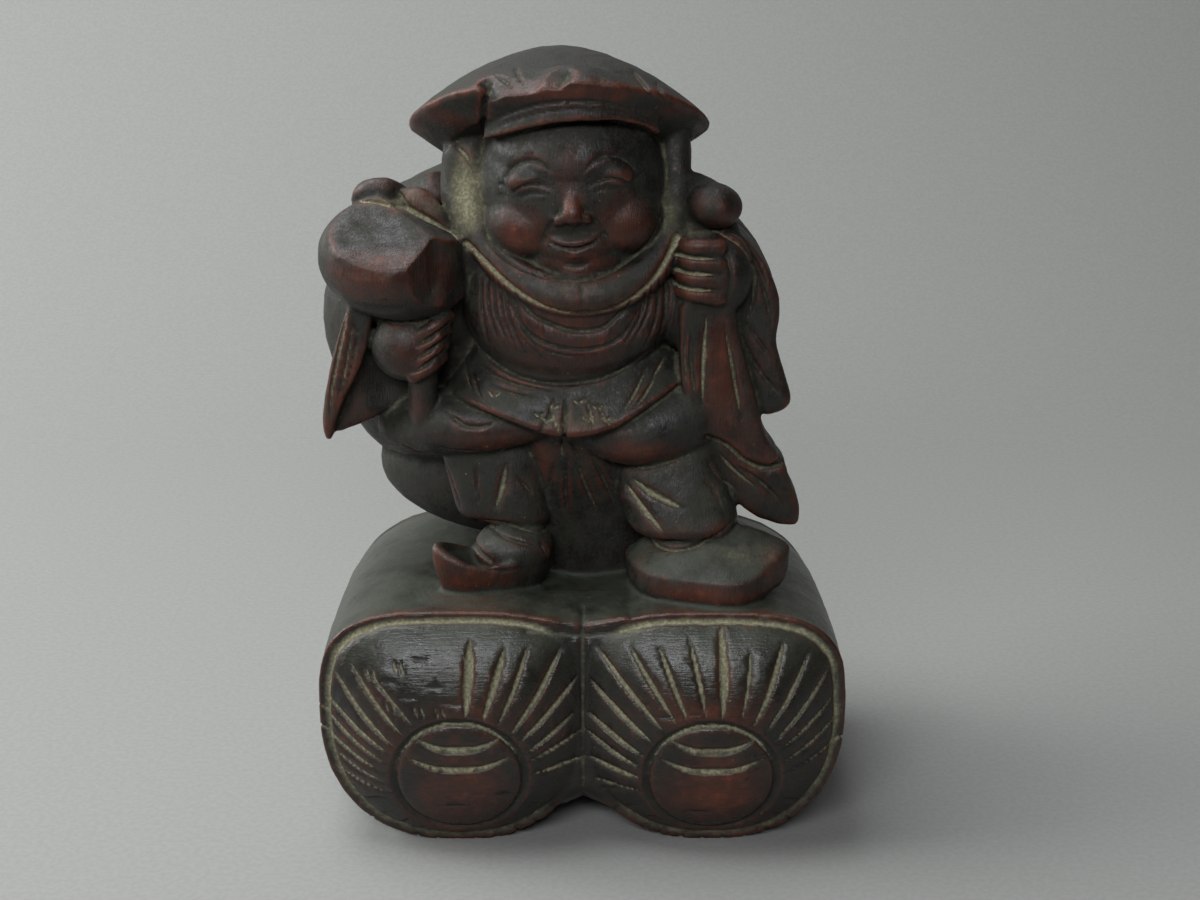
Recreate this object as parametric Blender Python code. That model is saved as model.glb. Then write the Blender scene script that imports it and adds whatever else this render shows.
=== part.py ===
"""A carved wooden Daikoku, the god of the kitchen and of good harvests, standing on two rice bales.

The whole work is cut from one block, so it is one solid. It is built the way a carver thinks of it: big
lumps first (bales, sack, body, limbs, cap), fused into one skin, then planed flats, then gouge cuts.

Frame: +Z up, the figure faces -Y, the origin is on the ground under the middle of the whole work.
Right and left in names are the viewer's, standing in front of the figure.
"""

import math

import bmesh
import bpy
import numpy as np
from mathutils import Euler, Matrix, Vector
from mathutils.bvhtree import BVHTree

MM = 0.001

# The two bales, which are the base.
BALE_WIDTH = 55 * MM
BALE_SPACING = 50.6 * MM  # between the two bales' middles, so they grow into each other
BALE_HEIGHT = 50 * MM
BALE_LENGTH = 79 * MM  # over both domed ends
BALE_DOME = 8.5 * MM  # how far each end bulges past its rim
BALE_TAPER = 0.02  # the bale on the right narrows towards the back, by twice this share in all
DOME_FULLNESS = 2.4  # 2 would be a plain shallow bowl, and more is flatter in the middle
RIM_LIP = 0.8 * MM  # how far the wrapping stands out round each end
LID_RADIUS = 13 * MM  # the round straw lid in each end
RAY_COUNT = 32  # gouge cuts round one lid

# The figure on them, from the soles to the top of the cap.
FIGURE_HEIGHT = 105 * MM

# How fine the carving is.
CHIP = 0.6 * MM  # the forms are fused and worked at this fineness
TRIANGLES = 9400  # the finished skin is planed down to about this many facets
LEVEL = 0.15 * MM  # what stands less than this off the ground is planed down to it
GOUGE_WIDTH = 1.25  # all gouge cuts, against their drawn widths
GOUGE_DEPTH = 1.3  # and against their drawn depths

# The figure is laid out on a drawing in millimetres at its own size, where the bales are 50 high.
DRAWN_FIGURE = 105
DRAWN_BASE = 50
UNIT = FIGURE_HEIGHT / DRAWN_FIGURE


def at(x, y, z):
    """A drawn point in millimetres, in metres. Heights in the bales follow BALE_HEIGHT, the rest the figure."""
    rise = z * BALE_HEIGHT / DRAWN_BASE if z < DRAWN_BASE else BALE_HEIGHT + (z - DRAWN_BASE) * UNIT
    return Vector((x * UNIT, y * UNIT, rise))


def from_lid(middle, right, up):
    """A drawn place for the front view, this far in metres to the right of a lid's middle and above it."""
    return middle[0] + right / UNIT, middle[1] + up * DRAWN_BASE / BALE_HEIGHT


def round_lid(middle, radius, angle):
    """A drawn place for the front view, at this radius in metres and angle round a lid's middle."""
    return from_lid(middle, radius * math.cos(angle), radius * math.sin(angle))


def smooth_line(points, steps=6, closed=False):
    """A curve through the points (Catmull-Rom), with this many steps to each span."""
    count = len(points)
    spans = count if closed else count - 1
    line = []
    for i in range(spans):
        if closed:
            p = [points[(i + k) % count] for k in (-1, 0, 1, 2)]
        else:
            p = [points[min(max(i + k, 0), count - 1)] for k in (-1, 0, 1, 2)]
        for j in range(steps):
            t = j / steps
            line.append(
                0.5
                * (
                    2 * p[1]
                    + (p[2] - p[0]) * t
                    + (2 * p[0] - 5 * p[1] + 4 * p[2] - p[3]) * t**2
                    + (3 * p[1] - p[0] - 3 * p[2] + p[3]) * t**3
                )
            )
    if not closed:
        line.append(points[-1])
    return line


class Clay:
    """The lump that the forms are added to. Each form is a closed shell, and they may run into each other."""

    def __init__(self):
        self.lump = bmesh.new()

    def add(self, shell):
        """Adds a closed shell, with its faces turned outwards."""
        bmesh.ops.recalc_face_normals(shell, faces=shell.faces)
        mesh = bpy.data.meshes.new("form")
        shell.to_mesh(mesh)
        self.lump.from_mesh(mesh)
        bpy.data.meshes.remove(mesh)
        shell.free()

    def ball(self, centre, radii, turn=(0, 0, 0), flats=()):
        """A ball stretched to three radii and turned by degrees. Each flat is a point and a direction to pare."""
        shell = bmesh.new()
        bmesh.ops.create_icosphere(shell, subdivisions=4, radius=1)
        turned = Euler([math.radians(a) for a in turn]).to_matrix().to_4x4()
        sized = Matrix.Diagonal(Vector(radii) * UNIT).to_4x4()
        shell.transform(Matrix.Translation(at(*centre)) @ turned @ sized)
        for point, direction in flats:
            pare(shell, at(*point), Vector(direction))
        self.add(shell)

    def loft(self, rings):
        """A skin drawn over rings of equally many points, closed by a fan at each end."""
        shell = bmesh.new()
        rows = [[shell.verts.new(p) for p in ring] for ring in rings]
        for low, high in zip(rows, rows[1:]):
            for i in range(len(low)):
                j = (i + 1) % len(low)
                shell.faces.new((low[i], low[j], high[j], high[i]))
        for row in (rows[0], rows[-1]):
            middle = shell.verts.new(sum((v.co for v in row), Vector()) / len(row))
            for i, corner in enumerate(row):
                shell.faces.new((corner, row[(i + 1) % len(row)], middle))
        self.add(shell)

    def stack(self, ovals, sides=48):
        """A loft over level ovals: each is a centre, two half widths and how square it is."""
        self.loft([[at(x + dx, y + dy, z) for dx, dy in oval(rx, ry, square, sides)]
                   for (x, y, z), (rx, ry), square in ovals])

    def limb(self, points, radii, squash=1.0, sides=20, steps=5):
        """A round bar along a curve, thick as its radii say, with round ends. Squash flattens it front to back."""
        line = smooth_line([at(*p) for p in points], steps)
        thick = np.interp(np.linspace(0, len(radii) - 1, len(line)), range(len(radii)), radii) * UNIT
        rings = []
        for i, middle in enumerate(line):
            along = (line[min(i + 1, len(line) - 1)] - line[max(i - 1, 0)]).normalized()
            side = along.cross(Vector((0, 1, 0))).normalized()
            depth = side.cross(along) * squash
            ends = (-1,) if i == 0 else (1,) if i == len(line) - 1 else ()
            round_end = [(math.sin(a) * end, math.cos(a)) for end in ends for a in (1.35, 1.0, 0.5)]
            if ends == (1,):
                round_end.reverse()
            cuts = round_end + [(0, 1)] if ends == (-1,) else [(0, 1)] + round_end
            for forward, shrink in cuts:
                rings.append([middle + (along * forward + (side * math.cos(a) + depth * math.sin(a)) * shrink)
                              * thick[i] for a in np.linspace(0, math.tau, sides, endpoint=False)])
        self.loft(rings)

    def slab(self, outline, front, back, edge=1.2, tilt=(0, 0)):
        """A board cut to an outline of (x, z) points, with round edges. Tilt moves it back per mm of x and z."""
        curve = smooth_line([Vector(p) for p in outline], 4, closed=True)
        count = len(curve)
        area = sum(curve[i].cross(curve[(i + 1) % count]) for i in range(count))
        inward = []
        for i in range(count):
            along = (curve[(i + 1) % count] - curve[i - 1]).normalized()
            inward.append(Vector((-along.y, along.x)) * math.copysign(edge, area))
        middle = sum(curve, Vector((0, 0))) / count
        rings = []
        for y, inset in ((back, 1), (back - edge * 0.3, 0.3), (back - edge, 0), (front + edge, 0),
                         (front + edge * 0.3, 0.3), (front, 1)):
            rings.append([at(p.x, y + (p - middle).dot(Vector(tilt)), p.y)
                          for p in (c + n * inset for c, n in zip(curve, inward))])
        self.loft(rings)

    def fused(self, name, chip, soften):
        """All the forms as one skin of even facets, with its seams softened."""
        mesh = bpy.data.meshes.new(name)
        self.lump.to_mesh(mesh)
        self.lump.free()
        lump = bpy.data.objects.new(name + "_lump", mesh)
        bpy.context.scene.collection.objects.link(lump)
        remesh = lump.modifiers.new("Fuse", "REMESH")
        remesh.mode = "VOXEL"
        remesh.voxel_size = chip
        smooth = lump.modifiers.new("Soften", "SMOOTH")
        smooth.factor = 0.5
        smooth.iterations = soften
        bpy.context.view_layer.update()
        graph = bpy.context.evaluated_depsgraph_get()
        skin = bpy.data.meshes.new_from_object(lump.evaluated_get(graph))
        bpy.data.objects.remove(lump)
        bpy.data.meshes.remove(mesh)
        skin.name = name
        return skin


def pare(shell, point, direction):
    """Cuts a closed shell flat: what lies past the point in this direction goes, and the cut is closed."""
    cut = bmesh.ops.bisect_plane(shell, geom=shell.verts[:] + shell.edges[:] + shell.faces[:],
                                 plane_co=point, plane_no=direction, clear_outer=True)
    bmesh.ops.edgeloop_fill(shell, edges=[e for e in cut["geom_cut"] if isinstance(e, bmesh.types.BMEdge)])


def oval(half_x, half_y, square=2.0, sides=48):
    """Points round an oval. Square is 2 for an ellipse, and more the squarer it is."""
    found = []
    for a in np.linspace(0, math.tau, sides, endpoint=False):
        c, s = math.cos(a), math.sin(a)
        found.append((half_x * math.copysign(abs(c) ** (2 / square), c),
                      half_y * math.copysign(abs(s) ** (2 / square), s)))
    return found


def bale_ring(middle_x, y, share, sides=64):
    """A bale's outline at one place along it: boxy above and rounder below, and boxier in front than behind."""
    waist = BALE_HEIGHT * 0.56
    ring = []
    for a in np.linspace(0, math.tau, sides, endpoint=False):
        c, s = math.cos(a), math.sin(a)
        square = float(np.interp(y / BALE_LENGTH, (-0.39, 0.13, 0.43), (3.4, 2.8, 2.1))) if s > 0 else 2.3
        rise = (BALE_HEIGHT - waist) if s > 0 else waist * 1.03
        ring.append(Vector((middle_x + share * BALE_WIDTH / 2 * math.copysign(abs(c) ** (2 / square), c), y,
                            waist + share * rise * math.copysign(abs(s) ** (2 / square), s))))
    return ring


def add_bales(clay):
    """Two bales side by side: a wrapped barrel with a lipped rim, and a domed end inside each rim."""
    rim = BALE_LENGTH / 2 - BALE_DOME
    inset = 1 - RIM_LIP / (BALE_WIDTH / 2)
    for side in (-1, 1):
        middle_x = side * BALE_SPACING / 2
        taper = BALE_TAPER if side > 0 else 0
        barrel = [(y * rim, 1 - 0.03 * y**4 - taper * (y + 1.4)) for y in (-1, -0.97, -0.8, -0.5, 0, 0.5, 0.8, 0.97, 1)]
        clay.loft([bale_ring(middle_x, y, share) for y, share in barrel])
        bulge = [(1 - s ** DOME_FULLNESS, inset * s) for s in np.linspace(1, 0.04, 15)]
        dome = [(-rim - BALE_DOME * forward, share * (0.97 - 0.4 * taper)) for forward, share in reversed(bulge)]
        dome += [(-y, share * (1 - 2 * taper)) for y, share in reversed(dome)]
        clay.loft([bale_ring(middle_x, y, share) for y, share in dome])
    valley = ((-0.29, 0.988), (-0.13, 0.964), (0, 0.948), (0.13, 0.964), (0.29, 0.988), (0.25, 0.6), (0, 0.52),
              (-0.25, 0.6))
    clay.loft([[Vector((x * BALE_WIDTH, y, (z + low) * BALE_HEIGHT)) for x, z in valley]
               for y, low in ((-0.99 * rim, -0.018), (-0.8 * rim, -0.008), (-0.2 * rim, 0), (0.74 * rim, -0.008),
                              (rim, -0.04))])
    rings = []
    for z, lip, spread in ((0.93, 0.04, 0), (0.88, 0.1, 0), (0.76, 0.17, 0), (0.56, 0.21, 0), (0.4, 0.17, 0),
                           (0.3, 0.1, 0.2), (0.24, 0, 0.4), (0.21, -0.1, 0.6)):
        nose = -rim - lip * BALE_DOME
        rings.append([Vector((x * BALE_WIDTH, y, (z - abs(x) * spread) * BALE_HEIGHT)) for x, y in
                      ((-0.16, -rim / 2), (-0.16, -rim - 0.29 * BALE_DOME), (-0.07, nose + 0.06 * BALE_DOME),
                       (0, nose), (0.07, nose + 0.06 * BALE_DOME), (0.16, -rim - 0.29 * BALE_DOME),
                       (0.16, -rim / 2))])
    clay.loft(rings)


def add_sack(clay):
    """The treasure sack on the figure's back, drawn up to a neck that the fist on the right holds."""
    clay.ball((-7, 15, 98), (47.6, 23, 36))
    clay.ball((-6, 15, 67), (37.6, 20.5, 17.5))
    clay.ball((-8, 15, 82), (42, 22, 22))
    clay.limb([(-30, 8, 120), (-36, 6, 120.4), (-29, 2, 126)], [9, 7, 4.6])
    clay.limb([(2, 12, 112), (13, 6, 121), (18.5, -4, 126.6), (25, -10.5, 126)], [20, 13, 5.6, 4.6])
    clay.ball((25.4, -11, 126.3), (5.6, 5.8, 4.3), (0, 12, 0))
    clay.ball((22, -6, 119), (9, 7, 8))
    clay.ball((19, -7, 106), (5, 8, 9))


def add_head(clay):
    """The round head and the soft features of a smiling face, on the usual thirds from brim to chin."""
    clay.ball((-2, -3, 129.5), (19.2, 18, 18.5))
    clay.ball((-2, -3.4, 135), (17.6, 17.6, 13.5))
    for side in (-1, 1):
        clay.ball((-2 + side * 8.6, -11.2, 123.4), (8.8, 8.2, 7.8))
        clay.ball((-2 + side * 7.3, -17.2, 132.4), (4.8, 2.7, 2.5), (0, side * 6, 0))
    clay.ball((-2, -13, 116.6), (9.6, 6.6, 5))
    clay.ball((-2, -14.2, 120), (8, 6.2, 4.8))
    clay.limb([(-2, -18.4, 132.6), (-2, -20.2, 129.2), (-2, -21.6, 126.4)], [1.5, 1.9, 2.4], squash=1.0)
    for side in (-1, 1):
        clay.ball((-2 + side * 2.9, -20.2, 125.7), (1.9, 2.0, 1.5))
    clay.limb([(-7.2, -19.2, 121.6), (-4.6, -20.3, 120.6), (-2, -20.7, 120.4), (0.6, -20.3, 120.6),
               (3.2, -19.2, 121.6)], [0.7, 1.1, 1.05, 1.1, 0.7])
    clay.limb([(-5.2, -19.4, 119.2), (-2, -20.3, 118.2), (1.2, -19.4, 119.2)], [0.7, 1.2, 0.7])


def add_hood(clay):
    """The cloth under the cap: it hangs beside each cheek and runs as a flat roll below the chin."""
    clay.limb([(-21.5, -4, 139), (-21.8, -7, 130), (-20, -11, 121.5), (-14.5, -15.5, 114.6), (-7, -18.6, 111),
               (0, -19.6, 110.2), (7, -18.4, 111.3), (13.5, -15.2, 115), (17.2, -11, 121), (18.2, -7, 130),
               (17.8, -4, 139)], [3, 3, 3.3, 3.6, 3.7, 3.7, 3.7, 3.6, 3.2, 3, 3])
    clay.limb([(-23.5, -3, 136.5), (-24, -6, 128), (-21.5, -10, 119.5), (-20, -9, 112)], [3.6, 3.8, 3.6, 3])
    clay.limb([(18, -2, 136), (17.5, -5, 128), (17.5, -9, 118)], [3.4, 3.6, 3.4])


def add_body(clay):
    """The chest and belly in their robe, the sleeves' shoulders, and the short skirt of the coat."""
    rings = []
    for z, rx, ry in ((121, 17, 10), (117, 20, 13.2), (112, 21.5, 15.6), (106, 22, 16.8), (100, 21.8, 16.8),
                      (96, 20.6, 15.8), (93.6, 18.8, 14.2), (92.8, 15.5, 11)):
        lower = min(1, max(0, (106 - z) / 10))
        rings.append([at(-2.5 + dx, -3.4 + dy, z + 0.013 * lower * dx * dx) for dx, dy in oval(rx, ry, 2.5, 56)])
    clay.loft(rings)
    clay.ball((-27, 1, 107), (13, 10, 15))
    clay.ball((25, 2, 106), (13, 10, 14))
    hem_x = (-28, -18, -10.5, -4, 1.5, 7.5, 13, 20, 27)
    hem_z = (88.6, 87, 84.6, 82.7, 83.2, 85, 88.3, 92, 94)
    rings = []
    for share, rx, ry in ((1.0, 19.5, 13), (0.75, 20.5, 14.6), (0.45, 22.3, 16.6), (0.2, 24, 18.6),
                          (0.06, 25.2, 19.9), (0.0, 25, 19.8), (-0.05, 24, 18.6), (-0.04, 20, 14)):
        ring = []
        for dx, dy in oval(rx, ry, 2.3, 56):
            low = float(np.interp(-2.5 + dx, hem_x, hem_z))
            ring.append(at(-2.5 + dx, -2.6 + dy, low + (99 - low) * share))
        rings.append(ring)
    clay.loft(rings)


def add_legs(clay):
    """Bloused trousers over both knees, the shins below them, and the cloth that hangs between."""
    clay.limb([(-35, -3, 80), (-28, -9, 82), (-19, -12, 82.4), (-9, -12.5, 83.2)], [6.5, 6.6, 5.6, 3.6],
              squash=1.15)
    clay.limb([(2, -12.5, 79.6), (9.5, -14.5, 81), (19, -12, 83.5), (25, -6, 84)], [3.4, 6.4, 7.4, 7])
    rings = []
    for z, left, right, front in ((80, -30, -9, -12.5), (75, -29, -8, -13.6), (68.5, -27.6, -7, -14.4),
                                  (63, -26.2, -6.4, -14.6), (61.6, -25.6, -6.8, -13.8)):
        middle, half = (left + right) / 2, (right - left) / 2
        rings.append([at(middle + dx, front + 9 + dy, z - 0.12 * dx) for dx, dy in oval(half, 9, 2.8, 44)])
    clay.loft(rings)
    rings = []
    for z, left, right, front in ((82, 6, 28, -15), (75, 7.6, 27.6, -17.6), (68, 6.8, 29.6, -19.8),
                                  (62.5, 8.8, 31.2, -21.4), (61, 9.8, 31.2, -21)):
        middle, half = (left + right) / 2, (right - left) / 2
        rings.append([at(middle + dx, front + 11 + dy, z + 0.006 * dx * dx * (dx > 0) * 1.6)
                      for dx, dy in oval(half, 11, 2.8, 44)])
    clay.loft(rings)
    clay.stack([((-2, -5, 86), (13, 12), 2.2), ((-1, -3.5, 74), (12, 10), 2.4), ((1, 0, 60), (13, 9), 2.4),
                ((2, 2, 48), (14, 8), 2.4)])


def boot(clay, outline, middle, levels, lift_from, lift, steps=5):
    """A boot's lower part: its plan at each level, drawn in towards the top, with the toe lifted."""
    rings = []
    for z, grow, curl in levels:
        ring = []
        for p in smooth_line([Vector(p) for p in outline], steps, closed=True):
            side = Vector(middle) + (p - Vector(middle)) * grow
            past = max(0.0, (p.x - lift_from) * math.copysign(1, lift_from - middle[0]))
            ring.append(at(side.x, side.y, z + lift * past ** 1.4 * curl))
        rings.append(ring)
    clay.loft(rings)


def add_feet(clay):
    """Two soft boots, turned well out. The one on the left curls up at its toe; the other has planed sides."""
    boot(clay, [(-6, -9), (-8.5, -15.5), (-14, -19.8), (-20, -22), (-25.5, -23), (-30, -21), (-28.5, -16.5),
                (-22, -11), (-13, -6)], (-17, -14),
         ((49, 0.84, 0.2), (50.6, 0.92, 0.6), (52.8, 0.98, 1.0), (54.8, 1.0, 1.3), (55.5, 0.95, 1.4),
          (55.2, 0.86, 1.4), (54.2, 0.74, 1.0), (53, 0.3, 0)), -20, 0.125)
    clay.ball((-14.2, -11.6, 56), (8.2, 7.4, 5.8), (0, -4, 12))
    boot(clay, [(9.6, -8), (9.8, -17), (13, -23), (17, -25.6), (23, -27.6), (29.5, -28.8), (34.5, -26.8),
                (38.5, -22.8), (41.4, -18.2), (37, -11), (24, -5)], (23, -13),
         ((49, 0.93, 0.5), (50.4, 0.985, 0.7), (52.6, 1.0, 1), (54.4, 1.0, 1), (55.2, 0.965, 1), (57.4, 0.78, 0.8),
          (60, 0.55, 0.5), (61, 0.3, 0.2)), 31, 0.16)


def add_mallet_arm(clay):
    """The arm on the left: a wide sleeve, the hand, and the mallet that it holds up."""
    clay.slab([(-44, 110), (-48, 101), (-50.4, 91), (-51.2, 84), (-50, 79.6), (-45.5, 80.8), (-41, 82.8),
               (-34, 86), (-28, 92), (-26, 101), (-30, 110), (-37, 113)], -8.5, 7, 1.6, (0.04, 0.02))
    clay.slab([(-44.5, 109), (-48.2, 100), (-50.8, 90), (-51.9, 83.5), (-51.6, 79.6), (-50.4, 79), (-49.4, 82),
               (-47.4, 87.4), (-44.6, 92.6), (-42.4, 98.4), (-41.2, 104), (-41, 109)], -13.4, -6, 0.9,
              (-0.16, -0.03))
    clay.ball((-34.6, -12.2, 98.6), (6.9, 6.2, 7.6), (0, 14, 0))
    clay.ball((-30.4, -12.6, 99.8), (4.4, 5.2, 6.4), (0, 22, 0))
    clay.ball((-35.5, -8, 106), (8.5, 6.5, 5))
    for i in range(4):
        clay.limb([(-31.5 - 0.5 * i, -16.6, 101.6 - 2.7 * i), (-28.6 - 0.5 * i, -17, 103.6 - 2.7 * i),
                   (-26 - 0.5 * i, -14.6, 105.2 - 2.7 * i)], [1.5, 1.5, 1.3])
    clay.limb([(-32.5, -13, 110), (-31.6, -13.5, 96), (-31.8, -12.6, 84.6)], [3, 3, 3])
    clay.ball((-35.6, -12, 116.2), (15.8, 14, 12), (0, 4, 0),
              [((-30.4, -26, 116), (0.86, -0.5, -0.02)), ((-38, -20, 121), (-0.04, -0.6, 0.8)),
               ((-50.9, -12, 116), (-1, 0, 0)), ((-31, -8, 124.4), (0.42, -0.1, 0.9))])
    clay.limb([(-43.6, -7, 126.6), (-42, -8, 128.4), (-38.4, -8, 128.8), (-35.6, -6, 127.4)], [1.5, 2.1, 2.3, 1.9])
    clay.limb([(-33.6, -8.6, 127.4), (-31.4, -9.6, 126.8), (-28.6, -10.4, 123.6), (-25.6, -10.6, 119.6)],
              [1.9, 2.6, 2.5, 1.8])


def add_sack_arm(clay):
    """The arm on the right: the fist that grips the sack's neck, and two long falls of sleeve below it."""
    clay.slab([(23, 121), (29.5, 120.6), (34.6, 116), (38, 109.5), (39, 104.5), (38.4, 98.5), (39.8, 93),
               (41.5, 87.5), (41.3, 85.2), (39, 83.6), (35.8, 83.4), (31, 87), (26, 95), (22, 108)], -9.6, 6, 1.5)
    clay.slab([(22, 96), (21.6, 86), (23.6, 78), (25.2, 73), (29.4, 67.6), (33.4, 63.6), (38, 61.2), (42.8, 60.3),
               (43.9, 62.2), (43.4, 66), (41.6, 70), (40.4, 74), (36.6, 79), (33, 90), (28, 98)], -12.8, -3, 1.2,
              (0.12, -0.02))
    clay.slab([(19.6, 108.6), (19.0, 100), (19.6, 90.5), (21.6, 85), (24.4, 81.6), (28.5, 79.4), (32.5, 75.9),
               (36.6, 74.2), (40.2, 75.0), (40.8, 75.2), (37.6, 78.8), (35.4, 83.4), (33, 92), (30.6, 101),
               (28.6, 108)], -15.8, -5, 1.1, (0.13, -0.01))
    clay.ball((27, -12, 113), (6.2, 6, 8.2), (0, 6, 0))
    for i in range(4):
        z = 119.4 - 3.05 * i
        clay.limb([(18.9, -14.6, z), (21.4, -17.5, z + 0.1), (26, -17, z - 0.1 - 0.25 * i)], [1.35, 1.6, 1.7])


def add_cap(clay):
    """The wide soft cap: a low dome, drooping to a point over each ear, with a band turned up in front."""
    turns = [math.radians(d) for d in range(0, 360, 5)]
    front = [abs((math.degrees(a) - 270 + 180) % 360 - 180) for a in turns]  # degrees away from straight ahead
    rim = np.interp(front, (0, 30, 42, 65, 90, 130, 180), (149.6, 149.6, 148.4, 144.2, 139.7, 138.2, 137.8))
    drop = np.interp(front, (0, 20, 36, 53, 90, 180), (4.8, 5.4, 6.4, 6.4, 6.6, 6))
    inner = np.interp(front, (0, 35, 65, 90, 180), (0.86, 0.86, 0.78, 0.72, 0.8))
    fullness = np.interp(front, (0, 90, 180), (2.6, 1.85, 2.5))
    rings = []
    for out in (0.02, 0.2, 0.35, 0.5, 0.63, 0.75, 0.85, 0.93, 0.98, 1.0):
        rings.append([at(-4.6 + 29.7 * out * math.cos(a), 2 + 23.6 * out * math.sin(a),
                         rim[i] + (155 - rim[i]) * (1 - out ** fullness[i])) for i, a in enumerate(turns)])
    for sunk, tuck in ((0.16, 0.05), (1.0, 1.0), (1.0, 1.6)):
        rings.append([at(-4.6 + 29.7 * (1 - (1 - inner[i]) * tuck) * math.cos(a),
                         2 + 23.6 * (1 - (1 - inner[i]) * tuck) * math.sin(a),
                         rim[i] - drop[i] * sunk) for i, a in enumerate(turns)])
    clay.loft(rings)
    ridge_at = ((-56, -40, -28, -16, -6, 10, 25, 38, 56),
                (145.6, 147.3, 149, 150.5, 151.2, 151, 150.1, 149.2, 147.6))
    brim_at = ((-60, -42, -28, -12, 4, 25, 44, 60), (138.8, 140.5, 142, 143.4, 144, 143.9, 142.2, 139.4))
    rings = []
    for u in np.linspace(-56, 56, 29):
        ridge, brim = float(np.interp(u, *ridge_at)), float(np.interp(u, *brim_at))
        tall = ridge - brim
        section = [(0.3, ridge), (-0.2, ridge - 0.12 * tall), (-0.9, ridge - 0.45 * tall),
                   (-0.8, ridge - 0.8 * tall), (-0.4, brim + 0.3), (-1.0, brim), (-8, brim + 0.4), (-9, ridge),
                   (-6.5, ridge + 2.6), (-2.4, ridge + 1.5), (-0.4, ridge + 0.6)]
        a = math.radians(u)
        rings.append([at(-2 + (21 + r) * math.sin(a), -3 - (19 + r) * math.cos(a), z) for r, z in section])
    clay.loft(rings)


class Carver:
    """Works on the fused skin: presses hollows, planes flats and cuts gouge lines by moving its points."""

    VIEWS = {"front": (0, 1, 0), "back": (0, -1, 0), "left": (1, 0, 0), "right": (-1, 0, 0), "top": (0, 0, -1)}

    def __init__(self, skin):
        self.skin = skin
        self.points = np.empty(len(skin.vertices) * 3)
        skin.vertices.foreach_get("co", self.points)
        self.points = self.points.reshape(-1, 3)
        self.look()

    def look(self):
        """Reads the skin's directions again after its points have been moved."""
        self.skin.vertices.foreach_set("co", self.points.ravel())
        self.skin.update()
        normals = np.empty(len(self.points) * 3)
        self.skin.vertex_normals.foreach_get("vector", normals)
        self.normals = normals.reshape(-1, 3)
        corners = [tuple(p.vertices) for p in self.skin.polygons]
        self.tree = BVHTree.FromPolygons([tuple(p) for p in self.points], corners)
        self.cut = np.zeros(len(self.points))
        self.raised = np.zeros(len(self.points))

    def press(self, centre, radii, depth, direction=(0, 1, 0)):
        """Pushes a soft hollow: everything inside a stretched ball moves along a direction, most at its middle."""
        away = (self.points - np.array(at(*centre))) / (np.array(radii) * UNIT)
        fade = np.clip(1 - (away ** 2).sum(axis=1), 0, 1) ** 2
        facing = np.clip(-self.normals @ np.array(Vector(direction).normalized()) + 0.25, 0, 1)
        self.points += np.outer(fade * np.minimum(1, facing * 2) * depth * UNIT, Vector(direction).normalized())

    def plane(self, point, direction, reach):
        """Planes a flat: whatever stands proud of the plane within reach of the point comes down to it."""
        normal = np.array(Vector(direction).normalized())
        away = self.points - np.array(at(*point))
        proud = away @ normal
        fade = np.clip((1 - np.linalg.norm(away, axis=1) / (reach * UNIT)) * 4, 0, 1)
        proud = np.where((proud > 0) & (self.normals @ normal > 0.2), proud, 0) * fade
        self.points -= np.outer(proud, normal)

    def on_skin(self, places, view):
        """Drops a drawn line onto the skin, looking from the front, the back, a side or the top."""
        ray = Vector(self.VIEWS[view])
        found = []
        line = smooth_line([Vector(p) for p in places], 14)
        for p in line:
            spot = {"front": (p[0], -99, p[1]), "back": (p[0], 99, p[1]), "left": (-99, p[0], p[1]),
                    "right": (99, p[0], p[1]), "top": (p[0], p[1], 199)}[view]
            hit = self.tree.ray_cast(at(*spot), ray)[0]
            if hit is not None:
                found.append(hit)
        return found

    def gouge(self, places, width, depth, view="front", taper="both", form="v"):
        """Cuts along a drawn line. Taper thins it at its start, its end, both or neither.

        A v or a round cut has two banks. A step sinks only the ground on the left of the line as drawn, so that
        what lies on its right stands over it. A ridge is raised instead of cut.
        """
        line = self.on_skin(places, view)
        if len(line) < 2:
            return
        line = np.array([tuple(p) for p in line])
        reach = width * GOUGE_WIDTH * UNIT * (1.0 if form == "step" else 0.5)
        near = np.where(((self.points > line.min(axis=0) - reach) & (self.points < line.max(axis=0) + reach))
                        .all(axis=1))[0]
        near = near[self.normals[near] @ np.array(self.VIEWS[view]) < 0.25]
        if not len(near):
            return
        starts, runs = line[:-1], np.diff(line, axis=0)
        lengths = np.maximum((runs ** 2).sum(axis=1), 1e-14)
        spots = self.points[near]
        best = np.full(len(near), 1e9)
        along = np.zeros(len(near))
        side = np.zeros(len(near))
        done = np.concatenate([[0], np.cumsum(np.sqrt(lengths))])
        for i, (start, run) in enumerate(zip(starts, runs)):
            share = np.clip(((spots - start) @ run) / lengths[i], 0, 1)
            off = spots - (start + np.outer(share, run))
            far = np.linalg.norm(off, axis=1)
            closer = far < best
            best[closer] = far[closer]
            along[closer] = (done[i] + share * math.sqrt(lengths[i]))[closer] / done[-1]
            side[closer] = (np.cross(run, off) * self.normals[near]).sum(axis=1)[closer]
        thin = {"both": np.sin(np.clip(along, 0, 1) * math.pi) ** 0.6,
                "start": np.clip(along * 3, 0, 1) ** 0.7, "end": np.clip((1 - along) * 3, 0, 1) ** 0.7,
                "none": np.ones(len(near))}[taper]
        share = best / (reach * np.maximum(thin, 0.05))
        if form == "step":
            lip = 0.35 * MM
            amount = np.where(side > 0, np.clip(1 - best / reach, 0, 1) ** 1.4 * np.clip(best / lip, 0, 1), 0)
        elif form == "v":
            amount = np.clip(1 - share, 0, 1)
        else:
            amount = np.clip(1 - share ** 2, 0, 1)
        amount = amount * thin * depth * GOUGE_DEPTH * UNIT
        store = self.raised if form == "ridge" else self.cut
        store[near] = np.maximum(store[near], amount)

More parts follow.
